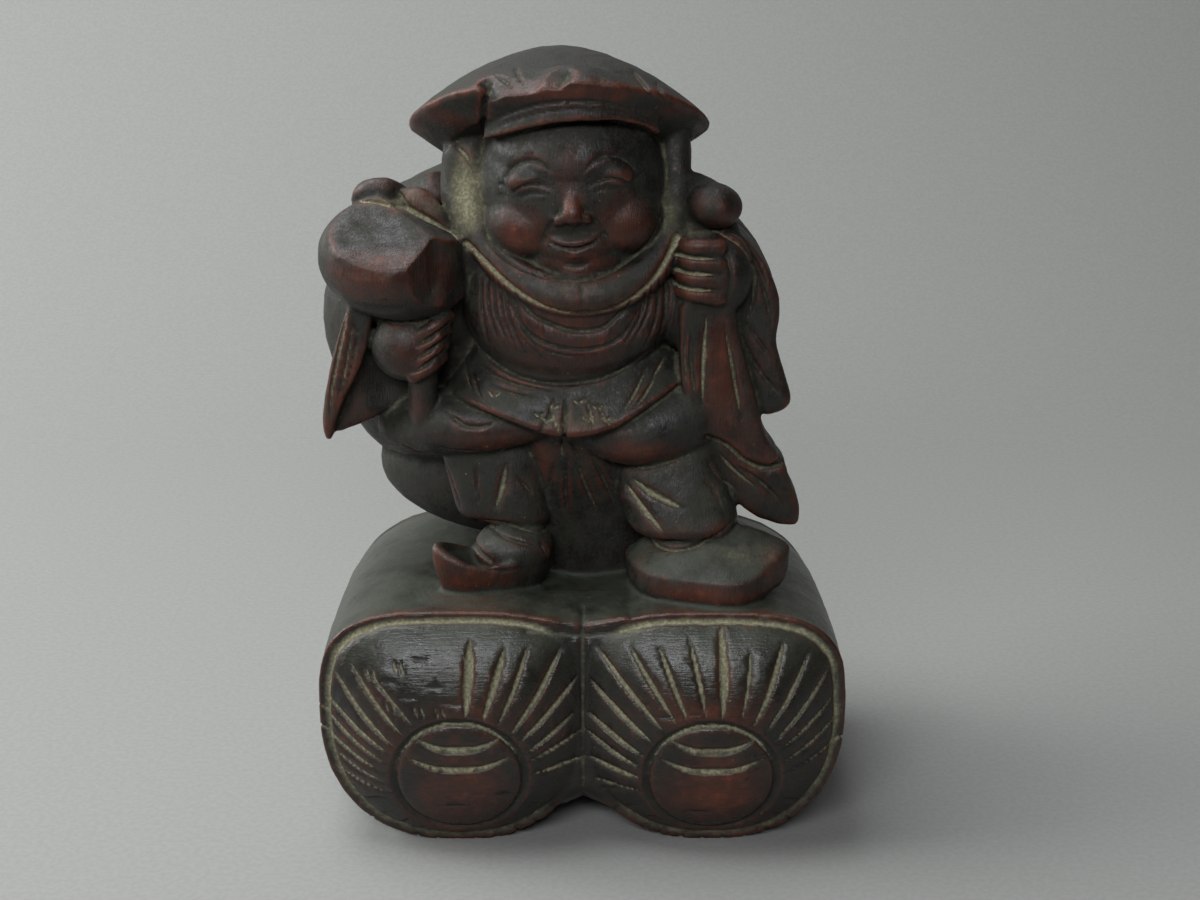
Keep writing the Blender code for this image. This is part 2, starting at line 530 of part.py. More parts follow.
    def seam(self, y, width, depth, below):
        """Cuts a groove straight round everything below a height, at one place from front to back."""
        share = np.abs(self.points[:, 1] - y * UNIT) / (width * UNIT / 2)
        amount = np.where(self.points[:, 2] < below * UNIT, np.clip(1 - share, 0, 1), 0) * depth * UNIT
        self.cut = np.maximum(self.cut, amount)

    def apply(self):
        """Moves the points by what has been cut and raised."""
        self.points += self.normals * (self.raised - self.cut)[:, None]
        self.look()


def carve_bales(c):
    """The rims' seams, the crease between the ends, the lids, and the rays of straw gathered round each lid."""
    rim = (BALE_LENGTH / 2 - BALE_DOME) / UNIT
    for y in (-rim, rim):
        c.seam(y, 1.9, 1.0, DRAWN_BASE + 2)
    c.gouge([(0, -17), (0, -24), (0, -rim - 1)], 1.5, 0.8, "top", "start")
    c.gouge([(0, 47), (0, 30), (0, 9)], 1.5, 0.9, "front", "none")
    for side, shift, height, turn in ((-1, 0.9, 17, 0), (1, 0.1, 16.4, 2.4)):
        middle = (side * BALE_SPACING / 2 / UNIT + shift, height)
        c.gouge([round_lid(middle, LID_RADIUS, a) for a in np.linspace(0, math.tau, 33)], 2.2, 1.0, "front",
                "none", "round")
        for half, ends, sag, width in ((0.65, 0.72, 0.19, 2.3), (0.85, 0.4, 0.22, 1.5)):
            c.gouge([from_lid(middle, LID_RADIUS * half * across, LID_RADIUS * (ends - sag * down))
                     for across, down in ((-1, 0), (-0.47, 0.84), (0, 1), (0.47, 0.84), (1, 0))], width, 0.8)
        for i in range(RAY_COUNT):
            a = math.radians(90 + turn + (i - RAY_COUNT / 2) * 360 / RAY_COUNT)
            reach = BALE_WIDTH * (0.52 if math.sin(a) > 0.85 else 0.49 if math.sin(a) > 0.3 else 0.436)
            if side * math.cos(a) < -0.25:
                reach = min(reach, (BALE_SPACING / 2 - 1.2 * MM) / abs(math.cos(a)))
            start = LID_RADIUS + 1.6 * MM
            depth = 0.95 if math.sin(a) > -0.3 else 0.57
            c.gouge([round_lid(middle, start, a), round_lid(middle, (start + reach) / 2, a + 0.03),
                     round_lid(middle, reach, a)], 1.8, depth, form="round")


def carve_back(c):
    """Behind: a lid in each bale, with no rays, and the sack's long folds from its neck and its foot."""
    for side in (-1, 1):
        middle = (side * BALE_SPACING / 2 / UNIT, 17)
        c.gouge([round_lid(middle, LID_RADIUS, a) for a in np.linspace(0, math.tau, 33)], 2.2, 0.9, "back", "none",
                "round")
    for points in ([(24, 118), (10, 112), (-6, 96)], [(25, 114), (14, 102), (4, 84)],
                   [(22, 122), (2, 120), (-20, 108)], [(27, 110), (22, 96), (18, 78)],
                   [(-38, 76), (-18, 64), (6, 62)], [(20, 66), (4, 58), (-14, 56)]):
        c.gouge(points, 2.4, 0.9, "back")


def carve_face(c):
    """The closed smiling eyes, the brows over them, and the line of the smile."""
    for side in (-1, 1):
        c.gouge([(-2 + side * 3.6, 130.9), (-2 + side * 7.2, 132.2), (-2 + side * 11.2, 130.7)], 1.1, 0.7)
        c.gouge([(-2 + side * 3.2, 134.2), (-2 + side * 7.2, 136.4), (-2 + side * 12.2, 133)], 1.2, 0.6)
        c.gouge([(-2 + side * 4.4, 125.6), (-2 + side * 5.8, 123.4), (-2 + side * 6, 121.6)], 1.1, 0.5)
    c.gouge([(-7.6, 121.6), (-4.8, 120), (-2, 119.6), (0.8, 120), (3.6, 121.6)], 0.9, 0.6)
    c.gouge([(-4.6, 117), (-2, 116.4), (0.6, 117)], 1.2, 0.4)


def carve_body(c):
    """The folds of the robe, the belly's lower edge, the sash and the pleats of the skirt."""
    hood_edge = [(-22.5, 119.4), (-18.2, 115.8), (-13, 111.6), (-7, 108.5), (0, 107.3), (6.5, 108.5), (12.5, 112.2),
                 (16, 116.6), (18.3, 121)]
    c.gouge(hood_edge, 1.7, 1.0, taper="none")
    c.gouge([(-14.5, 113.3), (-10.5, 107.5), (-6, 105), (-1.5, 103.6), (3.5, 104), (7, 106.6), (10.6, 111), (12, 114)],
            1.6, 0.75)
    c.gouge([(-15.8, 112.5), (-12, 105.2), (-8, 101.6), (-2.5, 100), (3.5, 100.3), (8, 102.8), (12.2, 109.5)],
            1.4, 0.65)
    for points in ([(-18.4, 114), (-18.2, 107), (-16, 100)], [(-17.2, 115), (-16.6, 106), (-13.6, 99.6)],
                   [(-15.6, 113.4), (-14.2, 105.4), (-10.8, 98.4)], [(13.2, 114.5), (12.8, 107), (9, 99.6)],
                   [(14.8, 115.5), (14.4, 105.5), (11.4, 98.4)], [(16.2, 116), (16.2, 106), (14.2, 99)]):
        c.gouge(points, 1.3, 0.6)
    c.gouge([(-22, 98.4), (-18, 96), (-12, 93.6), (-4.5, 92.6), (3.5, 93.4), (9, 95.6), (14.5, 99.5)], 1.6, 0.9)
    c.gouge([(-20.5, 94.6), (-16, 92.9), (-10, 91.6), (-4.5, 91)], 1.2, 0.6)
    c.gouge([(-19.6, 92), (-14, 90.6), (-7, 89.6)], 1.2, 0.5)
    c.gouge([(-22, 93), (-20.4, 89.6), (-17.6, 87.4)], 1.2, 0.5)
    c.gouge([(-3, 90.6), (-3.4, 86.6), (-3.6, 82)], 1.6, 0.9, taper="start")
    c.gouge([(-5.4, 90), (-8.4, 84)], 1.3, 0.6, taper="start")
    for points in ([(12.6, 94.6), (10.2, 90.6), (7.6, 86.6)], [(15, 93.4), (12.6, 90.2), (10.2, 88)],
                   [(3.2, 88.6), (5.4, 84.8)], [(6, 89.4), (7.4, 86)]):
        c.gouge(points, 1.3, 0.6)
    for x, z in ((-6.6, 85.6), (-5.2, 87.4), (1.6, 86), (2.8, 88)):
        c.gouge([(x - 1.3, z + 1.4), (x, z)], 1.0, 0.5)
        c.gouge([(x + 1.3, z + 1.4), (x, z)], 1.0, 0.5)


def carve_legs(c):
    """Leaf-shaped gouges on the shins, folds in the hanging cloth, and the boots' seams."""
    for points in ([(-28, 74), (-26, 68.5), (-24.6, 64)], [(-15.4, 74.4), (-16.4, 69.5), (-17.8, 65.4)],
                   [(-13.5, 72), (-9.5, 68.4), (-6, 66)], [(10, 72.2), (14.5, 69.6), (20, 67.2)],
                   [(8.6, 71), (12.4, 66.8), (16.4, 62)], [(1.6, 76), (4, 71), (6.4, 64)],
                   [(-1.4, 75.5), (0.6, 69), (3, 62)], [(-3.4, 76), (-3.6, 68), (-3, 60)],
                   [(-6, 75), (-8.4, 69.6), (-9, 66.6)], [(4.4, 76.6), (6.4, 73)]):
        c.gouge(points, 1.6, 0.8)
    c.gouge([(-27, 86.2), (-23, 83.8), (-19, 83.8), (-16.6, 85)], 1.4, 0.6)
    c.gouge([(-36.5, 78), (-33, 76.2), (-29, 76.4)], 1.4, 0.7)
    c.gouge([(-22.6, 58.4), (-19.8, 60.2), (-17, 61.8)], 1.2, 0.6)
    c.gouge([(-8.8, 59), (-7.4, 56.4), (-7.2, 54)], 1.2, 0.6)
    c.gouge([(-27, 59.4), (-23.4, 58), (-19.6, 55.8), (-15.8, 54.2), (-11.6, 54.2)], 1.5, 0.9, taper="both")


def carve_arms(c):
    """The sleeves' long folds, the cuff, the fingers of both hands, and the edge of the mallet."""
    for points in ([(-45.8, 107), (-47.8, 98), (-49.6, 90), (-50.6, 83)], [(-44.8, 104), (-46.4, 95.5), (-48.4, 87.5)],
                   [(24.2, 106.6), (23.7, 98.5), (23.5, 87)], [(27.4, 104.5), (28.8, 98), (30.2, 90.5), (31.6, 83)],
                   [(30.6, 102), (33.2, 96), (36.8, 90.4), (39.8, 87.8)], [(21.2, 104), (21.2, 96), (22.4, 88)],
                   [(26.6, 78), (30, 73.6), (36, 68.6)], [(30, 74.6), (36, 70), (41, 64.6)]):
        c.gouge(points, 1.5, 0.8)
    c.gouge([(24.4, 81), (28.5, 78.6), (32.5, 75), (36.6, 73.4), (42, 74.4)], 1.5, 0.8, taper="none")
    c.gouge([(20, 121.4), (26, 121.4), (31, 118.6), (33.6, 113), (33.4, 107), (31.8, 101)], 1.6, 0.8)
    c.gouge([(33.6, 114.4), (36.2, 107), (37.4, 100.5)], 1.4, 0.6)
    for i in range(3):
        z = 117.7 - 3.1 * i
        c.gouge([(18, z), (22, z - 0.1), (26.2, z - 0.4)], 1.2, 0.8, taper="end")
    for i in range(3):
        c.gouge([(-32.6 - 0.5 * i, 99.6 - 2.7 * i), (-29 - 0.5 * i, 102 - 2.7 * i), (-25.6 - 0.5 * i, 104.2 - 2.7 * i)],
                1.3, 0.8, taper="start")
    c.gouge([(-45, 126.6), (-41, 127.2), (-35.5, 126.2), (-29.5, 123.8), (-24.6, 120.8), (-22, 118.6)], 1.5, 0.8)


def plane_flats(c):
    """The planed facets of the mallet and above the cap's band, and the hollows in the sleeve and the skirt."""
    c.press((-37, -10, 90), (9, 9, 12), 3.2)
    c.press((3, -6, 66), (8, 10, 14), 1.5)
    c.plane((-31, -23.4, 116.4), (0.8, -0.6, 0), 9)
    c.plane((-40, -22.6, 115.4), (-0.16, -1, -0.1), 10)
    c.plane((-38, -19.6, 120.4), (-0.04, -0.62, 0.78), 11)
    c.plane((-12, -17.5, 151), (-0.25, -0.62, 0.74), 6.5)
    c.plane((-6, -19, 151.8), (0.06, -0.6, 0.8), 5)
    c.plane((8, -18, 151.6), (0.2, -0.55, 0.8), 7)


def carve_cap(c):
    """The notches where the band begins, and its fine double line."""
    c.gouge([(-16.6, 150.6), (-18.2, 147), (-18.6, 143), (-19.2, 139.6)], 1.8, 1.3)
    c.gouge([(-19, 142.6), (-15, 144.2), (-9.5, 146), (-2, 147), (3.5, 146.6), (10, 145.2), (14, 143.6)], 1.1, 0.45)
    c.gouge([(11, 151.4), (13.4, 148.6), (15.4, 146)], 1.6, 0.7)


def carve(skin):
    """All the tool work on the fused skin. The underside is planed level last."""
    c = Carver(skin)
    plane_flats(c)
    c.look()
    carve_cap(c)
    carve_bales(c)
    carve_back(c)
    carve_face(c)
    carve_body(c)
    carve_legs(c)
    carve_arms(c)
    c.apply()
    c.points[:, 2] = np.maximum(c.points[:, 2], 0)
    c.look()


def planed_down(skin, facets):
    """The skin in about this many facets, standing flat on its underside, with its middle over the origin."""
    rough = bpy.data.objects.new("rough", skin)
    bpy.context.scene.collection.objects.link(rough)
    triangles = sum(len(p.vertices) - 2 for p in skin.polygons)
    rough.modifiers.new("Planed", "DECIMATE").ratio = facets / triangles
    bpy.context.view_layer.update()
    mesh = bpy.data.meshes.new_from_object(rough.evaluated_get(bpy.context.evaluated_depsgraph_get()))
    bpy.data.objects.remove(rough)
    points = np.empty(len(mesh.vertices) * 3)
    mesh.vertices.foreach_get("co", points)
    points = points.reshape(-1, 3)
    points[points[:, 2] < LEVEL, 2] = 0
    points[:, :2] -= (points[:, :2].max(axis=0) + points[:, :2].min(axis=0)) / 2
    mesh.vertices.foreach_set("co", points.ravel())
    mesh.update()
    return mesh


def main():
    for old in list(bpy.data.objects):
        bpy.data.objects.remove(old)
    clay = Clay()
    add_bales(clay)
    add_sack(clay)
    add_head(clay)
    add_hood(clay)
    add_body(clay)
    add_legs(clay)
    add_feet(clay)
    add_mallet_arm(clay)
    add_sack_arm(clay)
    add_cap(clay)
    skin = clay.fused("daikoku_statue", CHIP, 3)
    carve(skin)
    statue = bpy.data.objects.new("daikoku_statue", planed_down(skin, TRIANGLES))
    bpy.context.scene.collection.objects.link(statue)
    statue.data.materials.append(stained_wood())


def stained_wood():
    """Wood under a nearly black brown stain, worn to a soft shine by handling."""
    wood = bpy.data.materials.new("dark_stained_wood")
    wood.use_nodes = True
    surface = wood.node_tree.nodes["Principled BSDF"]
    surface.inputs["Base Color"].default_value = (0.030, 0.016, 0.011, 1)
    surface.inputs["Roughness"].default_value = 0.42
    surface.inputs["Metallic"].default_value = 0
    return wood


main()
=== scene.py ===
import math

import bmesh
import bpy
import numpy as np
from mathutils import Matrix, Vector, noise
from mathutils.bvhtree import BVHTree


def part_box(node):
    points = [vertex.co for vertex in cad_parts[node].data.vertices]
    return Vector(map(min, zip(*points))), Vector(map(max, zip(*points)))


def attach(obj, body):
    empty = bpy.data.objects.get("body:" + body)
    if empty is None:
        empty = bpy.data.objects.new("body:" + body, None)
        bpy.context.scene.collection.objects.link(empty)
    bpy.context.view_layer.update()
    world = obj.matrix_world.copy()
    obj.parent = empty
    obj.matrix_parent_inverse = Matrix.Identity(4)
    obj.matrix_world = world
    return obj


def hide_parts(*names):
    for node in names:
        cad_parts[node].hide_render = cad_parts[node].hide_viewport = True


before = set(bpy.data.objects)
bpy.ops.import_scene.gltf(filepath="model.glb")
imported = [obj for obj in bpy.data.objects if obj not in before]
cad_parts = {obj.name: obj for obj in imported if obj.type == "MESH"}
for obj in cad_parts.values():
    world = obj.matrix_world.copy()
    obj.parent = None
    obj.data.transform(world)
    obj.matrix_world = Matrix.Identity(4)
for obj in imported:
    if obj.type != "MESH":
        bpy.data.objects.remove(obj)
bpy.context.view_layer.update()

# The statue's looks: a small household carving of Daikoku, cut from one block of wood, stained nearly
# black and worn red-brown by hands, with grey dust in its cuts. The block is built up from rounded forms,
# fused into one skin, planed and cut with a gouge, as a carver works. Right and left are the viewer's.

LOW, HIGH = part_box("daikoku_statue")

# Everything is drawn in millimetres at the height of 155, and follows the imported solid's own height.
DRAWN_HEIGHT = 155
MM = (HIGH[2] - LOW[2]) / DRAWN_HEIGHT

# The two bales, as in the solid.
BALE_WIDTH = 55
BALE_SPACING = 50.6
BALE_HEIGHT = 50
BALE_LENGTH = 79
BALE_DOME = 8.5
BALE_TAPER = 0.02  # the bale on the right narrows towards the back
DOME_FULLNESS = 2.4
RIM_LIP = 0.8
LID_RADIUS = 13

# How fine the fused skin is, in millimetres, and the finished piece, in triangles.
CHIP = 0.45
TRIANGLES = 190000

# Every cut goes this much deeper than its own depth says.
GOUGE_DEPTH = 1.15

# The knife's scallops all over the wood, in millimetres: across, along the grain, and deep.
SCALLOP_WIDTH = 4.6
SCALLOP_LENGTH = 7.5
SCALLOP_DEPTH = 0.16

# The cap's middle seen from above, and half its width and half its depth.
CAP_MIDDLE = (-4.6, 2)
CAP_HALF = (29.7, 23.6)

# The photograph's camera, in the drawing's millimetres, before the piece is centred.
CAMERA_AT = (3.4, -392.8, 200.6)
CAMERA_DOWN = 18
CAMERA_LENS = 60
SENSOR = 36

HEAD = (-2, 129.5)
HEAD_TILT = 4


def at(x, y, z):
    """A drawn point in millimetres, in metres."""
    return Vector((x, y, z)) * MM


def smooth_line(points, steps=6, closed=False):
    """A curve through the points (Catmull-Rom), with this many steps to each span."""
    count = len(points)
    spans = count if closed else count - 1
    line = []
    for i in range(spans):
        if closed:
            p = [points[(i + k) % count] for k in (-1, 0, 1, 2)]
        else:
            p = [points[min(max(i + k, 0), count - 1)] for k in (-1, 0, 1, 2)]
        for j in range(steps):
            t = j / steps
            line.append(
                0.5
                * (
                    2 * p[1]
                    + (p[2] - p[0]) * t
                    + (2 * p[0] - 5 * p[1] + 4 * p[2] - p[3]) * t**2
                    + (3 * p[1] - p[0] - 3 * p[2] + p[3]) * t**3
                )
            )
    if not closed:
        line.append(points[-1])
    return line


def oval(half_x, half_y, square=2.0, sides=48):
    """Points round an oval. Square is 2 for an ellipse, and more the squarer it is."""
    found = []
    for a in np.linspace(0, math.tau, sides, endpoint=False):
        c, s = math.cos(a), math.sin(a)
        found.append((half_x * math.copysign(abs(c) ** (2 / square), c),
                      half_y * math.copysign(abs(s) ** (2 / square), s)))
    return found


class Block:
    """The block in the rough: closed forms that run into each other, until they are fused into one skin."""

    def __init__(self):
        self.forms = []

    def ball(self, centre, radii, turn=(0, 0, 0), flats=()):
        """A ball stretched to three radii and turned by degrees. A flat is a point and the way it faces."""
        bpy.ops.object.select_all(action="DESELECT")
        bpy.ops.mesh.primitive_ico_sphere_add(subdivisions=4, radius=1, location=at(*centre),
                                              rotation=[math.radians(a) for a in turn])
        form = bpy.context.object
        form.scale = Vector(radii) * MM
        bpy.ops.object.transform_apply(location=True, rotation=True, scale=True)
        if flats:
            bpy.ops.object.mode_set(mode="EDIT")
            for point, direction in flats:
                bpy.ops.mesh.select_all(action="SELECT")
                bpy.ops.mesh.bisect(plane_co=at(*point), plane_no=direction, use_fill=True, clear_outer=True)
            bpy.ops.object.mode_set(mode="OBJECT")
        self.forms.append(form)

    def loft(self, rings):
        """A skin drawn over rings of equally many points, closed by a fan at each end."""
        shell = bmesh.new()
        rows = [[shell.verts.new(p) for p in ring] for ring in rings]
        for low, high in zip(rows, rows[1:]):
            for i in range(len(low)):
                j = (i + 1) % len(low)
                shell.faces.new((low[i], low[j], high[j], high[i]))
        for row in (rows[0], rows[-1]):
            middle = shell.verts.new(sum((v.co for v in row), Vector()) / len(row))
            for i, corner in enumerate(row):
                shell.faces.new((corner, row[(i + 1) % len(row)], middle))
        bmesh.ops.recalc_face_normals(shell, faces=shell.faces)
        mesh = bpy.data.meshes.new("form")
        shell.to_mesh(mesh)
        shell.free()
        form = bpy.data.objects.new("form", mesh)
        bpy.context.scene.collection.objects.link(form)
        self.forms.append(form)

    def stack(self, ovals, sides=48):
        """A loft over level ovals: each is a centre, two half widths and how square it is."""
        self.loft([[at(x + dx, y + dy, z) for dx, dy in oval(rx, ry, square, sides)]
                   for (x, y, z), (rx, ry), square in ovals])

    def limb(self, points, radii, squash=1.0, sides=20, steps=5):
        """A round bar along a curve, thick as its radii say, with round ends. Squash makes it shallower."""
        line = smooth_line([at(*p) for p in points], steps)
        thick = np.interp(np.linspace(0, len(radii) - 1, len(line)), range(len(radii)), radii) * MM
        rings = []
        for i, middle in enumerate(line):
            along = (line[min(i + 1, len(line) - 1)] - line[max(i - 1, 0)]).normalized()
            side = along.cross(Vector((0, 1, 0))).normalized()
            depth = side.cross(along) * squash
            ends = (-1,) if i == 0 else (1,) if i == len(line) - 1 else ()
            round_end = [(math.sin(a) * end, math.cos(a)) for end in ends for a in (1.35, 1.0, 0.5)]
            if ends == (1,):
                round_end.reverse()
            cuts = round_end + [(0, 1)] if ends == (-1,) else [(0, 1)] + round_end
            for forward, shrink in cuts:
                rings.append([middle + (along * forward + (side * math.cos(a) + depth * math.sin(a)) * shrink)
                              * thick[i] for a in np.linspace(0, math.tau, sides, endpoint=False)])
        self.loft(rings)

    def slab(self, outline, front, back, edge=1.2, tilt=(0, 0)):
        """A board cut to an outline of (x, z) points, with round edges. Tilt is how far back per mm."""
        curve = smooth_line([Vector(p) for p in outline], 4, closed=True)
        count = len(curve)
        area = sum(curve[i].cross(curve[(i + 1) % count]) for i in range(count))
        inward = []
        for i in range(count):
            along = (curve[(i + 1) % count] - curve[i - 1]).normalized()
            inward.append(Vector((-along.y, along.x)) * math.copysign(edge, area))
        middle = sum(curve, Vector((0, 0))) / count
        rings = []
        for y, inset in ((back, 1), (back - edge * 0.3, 0.3), (back - edge, 0), (front + edge, 0),
                         (front + edge * 0.3, 0.3), (front, 1)):
            rings.append([at(p.x, y + (p - middle).dot(Vector(tilt)), p.y)
                          for p in (c + n * inset for c, n in zip(curve, inward))])
        self.loft(rings)

    def fused(self, name):
        """All the forms as one skin of even facets, with its seams softened."""
        bpy.ops.object.select_all(action="DESELECT")
        for form in self.forms:
            form.select_set(True)
        bpy.context.view_layer.objects.active = self.forms[0]
        bpy.ops.object.join()
        piece = bpy.context.object
        piece.name = name
        fuse = piece.modifiers.new("Fuse", "REMESH")
        fuse.mode = "VOXEL"
        fuse.voxel_size = CHIP * MM
        bpy.ops.object.modifier_apply(modifier=fuse.name)
        soften = piece.modifiers.new("Soften", "SMOOTH")
        soften.factor = 0.5
        soften.iterations = 3
        bpy.ops.object.modifier_apply(modifier=soften.name)
        return piece


class Carver:
    """Works on the fused skin, in drawn millimetres: presses hollows, planes flats and cuts gouge lines."""

    VIEWS = {"front": (0, 1, 0), "back": (0, -1, 0),
             "left": (1, 0, 0), "right": (-1, 0, 0), "top": (0, 0, -1)}

    def __init__(self, piece):
        self.piece = piece
        self.skin = piece.data
        self.points = np.empty(len(self.skin.vertices) * 3)
        self.skin.vertices.foreach_get("co", self.points)
        self.points = self.points.reshape(-1, 3) / MM
        self.pairs = np.empty(len(self.skin.edges) * 2, dtype=np.int32)
        self.skin.edges.foreach_get("vertices", self.pairs)
        self.pairs = self.pairs.reshape(-1, 2)
        self.corners = [tuple(p.vertices) for p in self.skin.polygons]
        self.dust = np.zeros(len(self.points))
        self.look()

    def look(self):
        """Reads the skin's directions again after its points have been moved."""
        self.skin.vertices.foreach_set("co", (self.points * MM).ravel())
        self.skin.update()
        normals = np.empty(len(self.points) * 3)
        self.skin.vertex_normals.foreach_get("vector", normals)
        self.normals = normals.reshape(-1, 3)
        self.tree = BVHTree.FromPolygons(self.points.tolist(), self.corners)
        self.cut = np.zeros(len(self.points))
        self.raised = np.zeros(len(self.points))

    def near(self, centre, radii):
        """How near each point is to the middle of a stretched ball: 1 there, and 0 from its skin outwards."""
        away = (self.points - np.array(centre)) / np.array(radii)
        return np.clip(1 - (away ** 2).sum(axis=1), 0, 1) ** 2

    def press(self, centre, radii, depth, direction=(0, 1, 0)):
        """Pushes a soft hollow: what faces the push inside a stretched ball moves, most at its middle."""
        way = np.array(Vector(direction).normalized())
        facing = np.clip(-self.normals @ way + 0.25, 0, 1)
        self.points += np.outer(self.near(centre, radii) * np.minimum(1, facing * 2) * depth, way)

    def plane(self, point, direction, reach):
        """Planes a flat: whatever stands proud of the plane within reach of the point comes down to it."""
        normal = np.array(Vector(direction).normalized())
        away = self.points - np.array(point)
        proud = away @ normal
        fade = np.clip((1 - np.linalg.norm(away, axis=1) / reach) * 4, 0, 1)
        proud = np.where((proud > 0) & (self.normals @ normal > 0.2), proud, 0) * fade
        self.points -= np.outer(proud, normal)

    def on_skin(self, places, view):
        """Drops a drawn line onto the skin, looking from the front, the back, a side or the top."""
        ray = Vector(self.VIEWS[view])
        found = []
        for p in smooth_line([Vector(p) for p in places], 14):
            spot = {"front": (p[0], -99, p[1]), "back": (p[0], 99, p[1]), "left": (-99, p[0], p[1]),
                    "right": (99, p[0], p[1]), "top": (p[0], p[1], 199)}[view]
            hit = self.tree.ray_cast(Vector(spot), ray)[0]
            if hit is not None:
                found.append(tuple(hit))
        return np.array(found)

    def gouge(self, places, width, depth, view="front", taper="both", form="v", dust=1.0):
        """Cuts along a drawn line. Taper thins it at its start, its end, both or neither.

        A v or a round cut has two banks. A step sinks only the ground on the left of the line as drawn, so
        what lies on its right stands over it. A ridge is raised instead. Dust is how much lies in the cut.
        """
        line = self.on_skin(places, view)
        if len(line) < 2:
            return
        reach = width * (1.0 if form == "step" else 0.5)
        close = np.where(((self.points > line.min(axis=0) - reach) & (self.points < line.max(axis=0) + reach))
                         .all(axis=1))[0]
        close = close[self.normals[close] @ np.array(self.VIEWS[view]) < 0.25]
        if not len(close):
            return
        starts, runs = line[:-1], np.diff(line, axis=0)
        lengths = np.maximum((runs ** 2).sum(axis=1), 1e-8)
        spots = self.points[close]
        best = np.full(len(close), 1e9)
        along = np.zeros(len(close))
        side = np.zeros(len(close))
        done = np.concatenate([[0], np.cumsum(np.sqrt(lengths))])
        for i, (start, run) in enumerate(zip(starts, runs)):
            share = np.clip(((spots - start) @ run) / lengths[i], 0, 1)
            off = spots - (start + np.outer(share, run))
            far = np.linalg.norm(off, axis=1)
            closer = far < best
            best[closer] = far[closer]
            along[closer] = (done[i] + share * math.sqrt(lengths[i]))[closer] / done[-1]
            side[closer] = (np.cross(run, off) * self.normals[close]).sum(axis=1)[closer]
        thin = {"both": np.sin(np.clip(along, 0, 1) * math.pi) ** 0.6,
                "start": np.clip(along * 3, 0, 1) ** 0.7, "end": np.clip((1 - along) * 3, 0, 1) ** 0.7,
                "none": np.ones(len(close))}[taper]
        share = best / (reach * np.maximum(thin, 0.05))
        if form == "step":
            lip = 0.35
            amount = np.where(side > 0, np.clip(1 - best / reach, 0, 1) ** 1.4 * np.clip(best / lip, 0, 1), 0)
        elif form == "v":
            amount = np.clip(1 - share, 0, 1)
        else:
            amount = np.clip(1 - share ** 2, 0, 1)
        amount = amount * thin * depth * GOUGE_DEPTH
        store = self.raised if form == "ridge" else self.cut
        store[close] = np.maximum(store[close], amount)
        if form != "ridge":
            self.dust[close] = np.maximum(self.dust[close], np.clip(amount / 0.55, 0, 1) * dust)

    def gouges(self, rows):
        """Cuts one line after another from the front. A row is the drawn line, its width, depth and dust."""
        for points, width, depth, dust in rows:
            self.gouge(points, width, depth, dust=dust)

    def seam(self, y, width, depth, below):
        """Cuts a groove straight round both bales at one depth, but not where they meet."""
        share = np.abs(self.points[:, 1] - y) / (width / 2)
        amount = np.where(self.points[:, 2] < below, np.clip(1 - share, 0, 1), 0)
        amount *= np.clip((np.abs(self.points[:, 0]) - 4) / 5, 0, 1)
        self.cut = np.maximum(self.cut, amount * depth)
        self.dust = np.maximum(self.dust, amount)

    def bead(self, y, width, height, below):
        """Raises a round bead straight round both bales, but not where they meet."""
        share = np.abs(self.points[:, 1] - y) / (width / 2)
        amount = np.where(self.points[:, 2] < below, np.clip(1 - share ** 2, 0, 1), 0)
        amount *= np.clip((np.abs(self.points[:, 0]) - 2) / 5, 0, 1)
        self.raised = np.maximum(self.raised, amount * height)

    def apply(self):
        """Moves the points by what has been cut and raised."""
        self.points += self.normals * (self.raised - self.cut)[:, None]
        self.look()

    def averaged(self, values, rounds):
        """Each point's values averaged with its neighbours', this many times over."""
        first = np.concatenate([self.pairs[:, 0], self.pairs[:, 1]])
        second = np.concatenate([self.pairs[:, 1], self.pairs[:, 0]])
        count = np.maximum(np.bincount(first, minlength=len(values)), 1)
        for _ in range(rounds):
            values = np.stack([np.bincount(first, weights=column[second], minlength=len(values)) / count
                               for column in values.T], axis=1)
        return values


def bale_ring(middle_x, y, share, sides=96):
    """A bale's outline at one place along it: boxy above, rounder below, and boxier in front."""
    waist = BALE_HEIGHT * 0.56
    ring = []
    for a in np.linspace(0, math.tau, sides, endpoint=False):
        c, s = math.cos(a), math.sin(a)
        square = float(np.interp(y / BALE_LENGTH, (-0.39, 0.13, 0.43), (3.4, 2.8, 2.1))) if s > 0 else 2.3
        rise = (BALE_HEIGHT - waist) if s > 0 else waist * 1.03
        ring.append(at(middle_x + share * BALE_WIDTH / 2 * math.copysign(abs(c) ** (2 / square), c), y,
                       waist + share * rise * math.copysign(abs(s) ** (2 / square), s)))
    return ring


